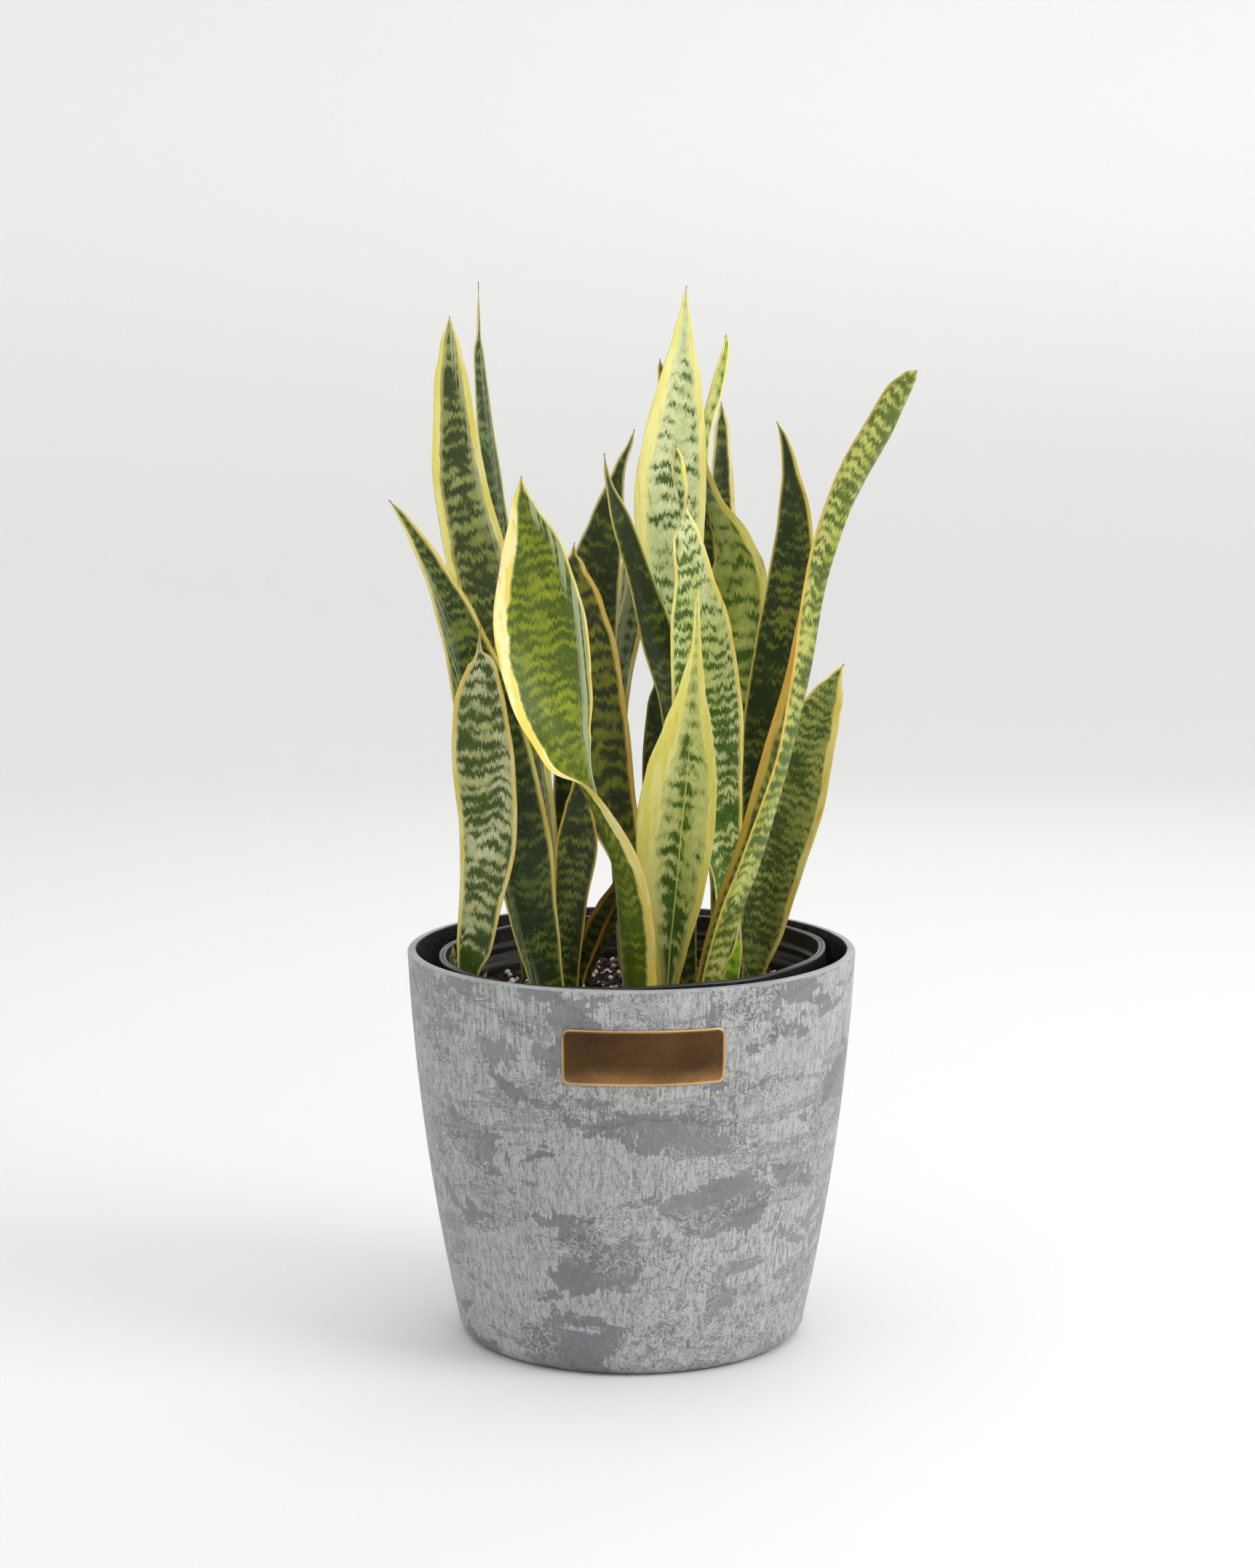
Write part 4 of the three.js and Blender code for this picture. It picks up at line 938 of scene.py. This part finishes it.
LEAF_LOOKS = {
    "leaf_front_left": dict(
        ground=((198, 198, 154), (176, 178, 120)), dark=((70, 92, 18), (52, 72, 14)), cover=0.44,
        period=9, margins=(2.8, 2.6), foot_dark=0.2,
        margin_colours=((216, 206, 134), (214, 186, 76), GOLD)),
    "leaf_left_lean": dict(
        MOSS, cover=0.6, margins=(1.6, 2.6), stripes=0.5, stripe_side=-1,
        margin_colours=((222, 208, 126), (218, 186, 66), GOLD)),
    "leaf_left_tall": dict(
        ground=((152, 156, 90), (128, 136, 68)), dark=((62, 74, 24), (48, 60, 18)), cover=0.5,
        margins=(5.0, 4.6), fade=3.2, stripes=0.9, stripe_side=1, midrib=0.1, foot_dark=0.12,
        margin_colours=((232, 226, 150), (226, 212, 100), (216, 180, 70))),
    "leaf_left_needle": dict(
        DEEP, ground=((112, 130, 66), (88, 110, 44)), cover=0.62, margins=(0.6, 0.8), stripes=0.3,
        stripe_side=1, margin_colours=((214, 206, 140), (206, 186, 100), GOLD)),
    "leaf_front_twist": dict(
        ground=((136, 148, 24), (116, 126, 34)), dark=((62, 80, 8), (76, 94, 12)), cover=0.5, period=8,
        margins=(9, 1.4), stripes=0.9, stripe_side=1, foot_margin=0.5, margin_cap=0.5, foot_dark=0.1,
        tip_dark=0.14, margin_colours=((240, 230, 164), (232, 206, 88), (222, 178, 56))),
    "leaf_mid_left_low": dict(
        DEEP, cover=0.66, margins=(1.2, 1.0), period=7,
        margin_colours=((208, 180, 90), (194, 154, 62), GOLD)),
    "leaf_mid_left": dict(
        ground=((128, 128, 34), (106, 110, 28)), dark=((52, 60, 10), (38, 46, 8)), cover=0.52,
        period=11, margins=(1.2, 3.2),
        margin_colours=((224, 194, 104), (218, 176, 66), (198, 142, 44))),
    "leaf_back_mid_dark": dict(DEEP, cover=0.72, margins=(1.2, 1.0)),
    "leaf_mid_dark": dict(
        DEEP, cover=0.76, margins=(0.8, 0.8), tip_dark=0.2,
        margin_colours=((206, 196, 110), (190, 166, 74), GOLD)),
    "leaf_back_mid_a": dict(
        ground=((148, 156, 108), (128, 140, 90)), dark=((62, 78, 36), (50, 66, 28)), cover=0.5,
        margins=(1.5, 3.5), stripes=0.8),
    "leaf_back_mid_b": dict(
        ground=((148, 156, 108), (128, 140, 90)), dark=((62, 78, 36), (50, 66, 28)), cover=0.55,
        margins=(1.5, 3), stripes=0.8),
    "leaf_back_centre_tall": dict(
        PALE, ground=((222, 226, 174), (204, 214, 148)), cover=0.2, period=10, margins=(8.5, 4.5),
        margin_cap=0.5, fade=3, stripes=0.25, foot_dark=0.16,
        margin_colours=((236, 230, 150), (230, 220, 120), (220, 196, 86))),
    "leaf_mid_low_dark": dict(
        DEEP, cover=0.84, margins=(0.7, 0.7),
        margin_colours=((168, 140, 74), (140, 108, 46), BROWN_EDGE)),
    "leaf_front_centre": dict(
        PALE, ground=((214, 218, 140), (192, 200, 112)), cover=0.12, period=11, midrib=0.2,
        margins=(15, 9), midline=0.9, foot_dark=0.26, margin_cap=0.62, foot_margin=0.4, fade=5,
        margin_colours=((236, 230, 142), (228, 216, 104), (214, 190, 56))),
    "leaf_centre_blotched": dict(
        PALE, ground=((216, 220, 162), (192, 202, 118)), cover=0.4, period=8.5, zigzag=12, regular=0.7,
        margins=(1.8, 2.4), foot_dark=0.2, margin_colours=((234, 224, 140), (228, 206, 76), GOLD)),
    "leaf_back_right_twist": dict(
        PALE, ground=((194, 198, 112), (160, 170, 72)), cover=0.27, period=12, margins=(6, 2),
        margin_cap=0.5, foot_dark=0.22, margin_colours=((236, 228, 130), (228, 210, 84), GOLD)),
    "leaf_back_right_small": dict(DEEP, cover=0.62, margins=(1.0, 2.6)),
    "leaf_back_centre_dark": dict(
        DEEP, cover=0.74, margins=(1.0, 2.6), margin_colours=((218, 186, 84), (210, 164, 54), GOLD)),
    "leaf_right_dark": dict(
        DEEP, cover=0.66, period=8, zigzag=12, margins=(0.8, 2.2), tip_dark=0.34,
        margin_colours=((228, 212, 112), (220, 192, 70), GOLD)),
    "leaf_right_long": dict(
        ground=((186, 186, 102), (150, 158, 62)), dark=((88, 106, 32), (68, 86, 22)), cover=0.52,
        period=8, regular=0.7, margins=(6.5, 1.0), tip_margin=0.2, margin_cap=0.6,
        margin_colours=((222, 184, 84), (214, 166, 56), GOLD)),
    "leaf_right_low": dict(
        ground=((172, 178, 92), (142, 150, 72)), dark=((80, 96, 40), (64, 80, 32)), cover=0.5,
        period=6.5, regular=0.75, margins=(1.0, 5.5), margin_cap=0.5,
        margin_colours=((242, 226, 136), (236, 208, 82), GOLD)),
    "pup_right": dict(
        ground=((150, 180, 40), (128, 160, 30)), dark=((98, 132, 24), (78, 110, 18)), cover=0.4,
        margins=(0.6, 0.6)),
    "leaf_centre_low_fold": dict(
        DEEP, cover=0.6, margins=(3.2, 3.2), margin_cap=0.6,
        margin_colours=((200, 150, 62), (176, 122, 42), BROWN_EDGE)),
    "sprout_left": dict(ground=((126, 150, 62), (104, 128, 48)), cover=0.35, margins=(0.3, 0.3)),
    "sprout_front": dict(ground=((126, 150, 62), (104, 128, 48)), cover=0.35, margins=(0.3, 0.3)),
}


def build_leaves():
    for number, (node, rows) in enumerate(LEAVES.items()):
        verts, faces, attributes = blade(rows, 1.0 + number * 0.71)
        material = leaf_material(f"{node}_skin", 1.0 + number, **LEAF_LOOKS[node])
        obj = mesh_object(f"{node}_blade", from_soil(verts), faces, material)
        for name, values in attributes.items():
            point_attribute(obj, name, values)
        stands_for(obj, node)


# ---------------------------------------------------------------- potting mix

def ground_height(x, y):
    """Height of the mix's surface above its plane, in mm, with mounds and clods."""
    dome = -SOIL_DOME * 0.3 * (math.hypot(x, y) / SOIL_RADIUS) ** 2
    p = Vector((x, y, 0.0))
    mounds = 1.6 * mnoise.noise(p * 0.03) + 1.2 * mnoise.noise(p * 0.09)
    clods = 1.1 * mnoise.noise(p * 0.3) + 0.6 * mnoise.noise(p * 0.7)
    return dome + mounds + clods - 0.8


def soil_body():
    rings, segments = 90, 300
    verts = [(0.0, 0.0, ground_height(0, 0))]
    for k in range(1, rings + 1):
        r = SOIL_RADIUS * k / rings
        for i in range(segments):
            a = 2 * math.pi * i / segments
            x, y = r * math.cos(a), r * math.sin(a)
            verts.append((x, y, ground_height(x, y)))
    floor = GROWER_FLOOR + CLEARANCE
    for z in np.linspace(SOIL_TOP - 8, floor, 8):
        r = grower_radius(z) - GROWER_WALL - CLEARANCE
        for i in range(segments):
            a = 2 * math.pi * i / segments
            verts.append((r * math.cos(a), r * math.sin(a), z - SOIL_TOP))
    layers = rings + 8
    faces = ring_faces(1, layers, segments, inward=True)
    faces += [(0, 1 + i, 1 + (i + 1) % segments) for i in range(segments)]
    verts.append((0, 0, floor - SOIL_TOP))
    last = 1 + (layers - 1) * segments
    faces += [(len(verts) - 1, last + (i + 1) % segments, last + i) for i in range(segments)]
    obj = mesh_object("potting_mix_body", from_soil(verts), faces, soil_material())
    stands_for(obj, "soil")


def ball(rows=6, columns=9):
    """Unit ball points and faces, for shaping into grains."""
    turn = [2 * math.pi * i / columns for i in range(columns)]
    verts = [(0, 0, -1)]
    for j in range(1, rows):
        a = math.pi * j / rows - math.pi / 2
        verts += [(math.cos(a) * math.cos(b), math.cos(a) * math.sin(b), math.sin(a)) for b in turn]
    verts.append((0, 0, 1))
    last = len(verts) - 1
    faces = ring_faces(1, rows - 1, columns)
    for i in range(columns):
        k = (i + 1) % columns
        faces.append((0, 1 + k, 1 + i))
        faces.append((last, last - columns + i, last - columns + k))
    return np.array(verts, dtype=float), faces


def random_turn(rng):
    q = unit(rng.normal(size=4))
    w, x, y, z = q
    return np.array([[1 - 2 * (y * y + z * z), 2 * (x * y - z * w), 2 * (x * z + y * w)],
                     [2 * (x * y + z * w), 1 - 2 * (x * x + z * z), 2 * (y * z - x * w)],
                     [2 * (x * z - y * w), 2 * (y * z + x * w), 1 - 2 * (x * x + y * y)]])


def scattered(name, count, size_range, flatness, roughness, sink, material, seed, flat=False,
              crowd=0.0):
    """Irregular grains strewn over the mix, in one piece. flatness: width and height by length."""
    rng = np.random.default_rng(seed)
    base, base_faces = ball()
    verts, faces, tones = [], [], []
    placed = 0
    while placed < count:
        r, a = SOIL_RADIUS * 0.975 * math.sqrt(rng.random()), rng.random() * 2 * math.pi
        x, y = r * math.cos(a), r * math.sin(a)
        if crowd and mnoise.noise(Vector((x * 0.035, y * 0.035, seed))) < crowd - rng.random() * 0.5:
            continue
        size = rng.uniform(*size_range) * rng.uniform(0.7, 1.0)
        jitter = 1 + roughness * rng.normal(size=(len(base), 1))
        grain = base * jitter * np.array([1, flatness[0], flatness[1]]) * size / 2
        if flat:
            yaw, tip = rng.random() * 2 * math.pi, rng.normal(scale=0.28)
            turn = np.array([[math.cos(yaw), -math.sin(yaw), 0],
                             [math.sin(yaw), math.cos(yaw), 0], [0, 0, 1]])
            turn = turn @ np.array([[math.cos(tip), 0, math.sin(tip)], [0, 1, 0],
                                    [-math.sin(tip), 0, math.cos(tip)]])
        else:
            turn = random_turn(rng)
        grain = grain @ turn.T
        lift = size / 2 * (flatness[1] if flat else 0.7) * (1 - sink)
        offset = len(verts) * len(base)
        verts.append(grain + [x, y, ground_height(x, y) + lift])
        faces += [tuple(v + offset for v in f) for f in base_faces]
        tones.append(np.full(len(base), rng.random()))
        placed += 1
    obj = mesh_object(name, from_soil(np.vstack(verts)), faces, material, smooth=not flat)
    point_attribute(obj, "tone", np.concatenate(tones))
    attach(obj, "root")


def fibres(name, count, material, seed):
    """Fine roots and coir hairs lying on the mix."""
    rng = np.random.default_rng(seed)
    sides, verts, faces, tones = 5, [], [], []
    for _ in range(count):
        r, a = SOIL_RADIUS * 0.93 * math.sqrt(rng.random()), rng.random() * 2 * math.pi
        x, y, heading = r * math.cos(a), r * math.sin(a), rng.random() * 2 * math.pi
        bend, length, thin = rng.normal(scale=0.12), rng.uniform(6, 24), rng.uniform(0.12, 0.3)
        steps = 12
        rise = rng.uniform(0.2, 2.0)
        start = len(verts)
        for k in range(steps + 1):
            t = k / steps
            z = ground_height(x, y) + 0.25 + rise * math.sin(math.pi * t)
            for s in range(sides):
                b = 2 * math.pi * s / sides
                out = thin * (1 - 0.6 * t)
                aside, up = out * math.cos(b), out * math.sin(b)
                verts.append((x - math.sin(heading) * aside, y + math.cos(heading) * aside, z + up))
                tones.append(0.5)
            heading += bend + rng.normal(scale=0.12)
            x = x + math.cos(heading) * length / steps
            y = y + math.sin(heading) * length / steps
            reach = math.hypot(x, y)
            if reach > SOIL_RADIUS * 0.97:
                x, y = x * SOIL_RADIUS * 0.97 / reach, y * SOIL_RADIUS * 0.97 / reach
        faces += ring_faces(start, steps + 1, sides) + end_faces(start, steps + 1, sides)
    obj = mesh_object(name, from_soil(verts), faces, material)
    point_attribute(obj, "tone", tones)
    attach(obj, "root")


def build_mix():
    soil_body()
    perlite = grain_material(
        "perlite", [(0.2, rgb(196, 192, 184)), (0.6, rgb(236, 234, 228)), (1, rgb(250, 249, 245))],
        700, 0.85, 0.0006)
    bark = grain_material("bark", [(0.2, rgb(44, 26, 18)), (0.5, rgb(92, 50, 34)), (0.9, rgb(146, 88, 62))],
                          420, 0.85, 0.0009)
    crumbs = grain_material("crumbs", [(0.2, rgb(18, 12, 9)), (0.6, rgb(48, 33, 25)), (1, rgb(82, 58, 44))],
                            520, 0.95, 0.0009)
    coir = grain_material("coir", [(0.3, rgb(92, 54, 32)), (0.8, rgb(158, 108, 70))], 500, 0.8, 0.0002)
    scattered("soil_crumbs", 2600, (1.6, 5.0), (0.8, 0.7), 0.12, 0.5, crumbs, 11)
    scattered("bark_bits", 520, (3.5, 12.0), (0.5, 0.22), 0.10, 0.2, bark, 23, flat=True, crowd=0.1)
    scattered("perlite_grains", 360, (1.8, 5.4), (0.9, 0.8), 0.09, 0.35, perlite, 37)
    fibres("coir_fibres", 240, coir, 51)


# ---------------------------------------------------------------- rhizomes, hidden in the mix

def rhizome(node, route, material):
    depth = -ROOT_DEPTH - 3 * CLEARANCE - RHIZOME_RADIUS
    path = catmull_rom([(x, y, depth) for x, y in route], SPINE_TENSION, np.linspace(0, 1, 61))
    sides = 20
    tangent = unit(np.gradient(path, axis=0))
    sideways = np.column_stack([-tangent[:, 1], tangent[:, 0], np.zeros(len(path))])
    travelled = distances(path)
    ends = np.minimum(travelled, travelled[-1] - travelled)
    from_end = np.clip(ends / RHIZOME_RADIUS, 0, 1)
    radius = (RHIZOME_RADIUS - 0.1) * np.sqrt(np.clip(1 - (1 - from_end) ** 2, 0.03, 1))
    radius = radius * (1 - 0.05 * (1 + np.sin(travelled * 1.25)))
    verts = []
    for k in range(len(path)):
        for s in range(sides):
            a = 2 * math.pi * s / sides
            up = np.array([0, 0, radius[k] * math.sin(a)])
            verts.append(path[k] + sideways[k] * radius[k] * math.cos(a) + up)
    faces = ring_faces(0, len(path), sides) + end_faces(0, len(path), sides)
    obj = mesh_object(f"{node}_stem", from_soil(verts), faces, material)
    stands_for(obj, node)


# ---------------------------------------------------------------- the object

outer_pot()
name_plate()
grower_pot()
build_mix()
build_leaves()
SKIN = rhizome_material()
for rhizome_node, rhizome_route in RHIZOMES.items():
    rhizome(rhizome_node, rhizome_route, SKIN)


# ---------------------------------------------------------------- studio

CAMERA_DISTANCE = 2.24
CAMERA_HEIGHT = 0.697
CAMERA_PITCH = 0.1465    # radians below level
CAMERA_YAW = 0.00115
LENS = 79.3              # mm
SENSOR_WIDTH = 36        # mm
LIT_POINT = (0, 0, 0.35)


def studio_bowl():
    """A round white cove: floor, curved foot and wall in one, lit evenly from every side."""
    g = Graph("studio_white")
    split = g.tree.nodes.new("ShaderNodeSeparateXYZ")
    g.tree.links.new(g.position(), split.inputs[0])
    # Painted light on the cove: the wall is painted brighter towards +X, the key lamp's side, and the floor
    # is painted a darker white than the wall, painted shade that evens out the extra light falling on it
    # from above
    raised = g.step(split.outputs[2], 0.2, 1.0)
    white = g.mix(g.step(split.outputs[0], -1.6, 1.6), rgb(240, 240, 239), rgb(255, 255, 254))
    material = g.finish(g.mix(raised, rgb(228, 228, 227), white), 0.95)
    floor_radius, cove, wall = 2.6, 1.2, 3.0
    profile = [(r, 0.0) for r in (0.25, 0.5, 1.0, 1.8, floor_radius)]
    profile += [(r, z) for r, z in arc(floor_radius, cove, cove, -90, 0, 16)[1:]]
    profile += [(floor_radius + cove, wall)]
    segments = 96
    angles = np.linspace(0, 2 * math.pi, segments, endpoint=False)
    verts = [(0.0, 0.0, 0.0)]
    verts += [(r * math.cos(a), r * math.sin(a), z) for r, z in profile for a in angles]
    faces = [(0, 1 + i, 1 + (i + 1) % segments) for i in range(segments)]
    faces += ring_faces(1, len(profile), segments, inward=True)
    bowl = mesh_object("studio_floor", verts, faces, material)


def area_light(name, place, size, power):
    data = bpy.data.lights.new(name, "AREA")
    data.shape = "RECTANGLE"
    data.size, data.size_y = size
    data.energy = power
    light = bpy.data.objects.new(name, data)
    light.location = place
    light.rotation_euler = (Vector(LIT_POINT) - Vector(place)).to_track_quat("-Z", "Y").to_euler()
    bpy.context.scene.collection.objects.link(light)


def camera():
    """In front of the pot and above its rim, looking a little down."""
    data = bpy.data.cameras.new("camera")
    data.sensor_width = SENSOR_WIDTH
    data.lens = LENS
    obj = bpy.data.objects.new("camera", data)
    obj.location = (0, -CAMERA_DISTANCE, CAMERA_HEIGHT)
    obj.rotation_euler = (math.pi / 2 - CAMERA_PITCH, 0, CAMERA_YAW)
    bpy.context.scene.collection.objects.link(obj)
    bpy.context.scene.camera = obj


studio_bowl()
area_light("key", (2.1, -0.9, 1.5), (1.4, 1.4), 33)
area_light("fill", (-1.9, -1.3, 1.2), (1.6, 1.6), 2)
area_light("top", (0, 0.1, 2.4), (2.2, 2.2), 9)
area_light("back", (0.6, 1.9, 1.6), (1.6, 1.2), 6)
camera()

world = bpy.data.worlds.new("studio_air")
world.use_nodes = True
world.node_tree.nodes["Background"].inputs["Color"].default_value = (1, 1, 1, 1)
world.node_tree.nodes["Background"].inputs["Strength"].default_value = 0.92
bpy.context.scene.world = world
bpy.context.scene.view_settings.view_transform = "Standard"
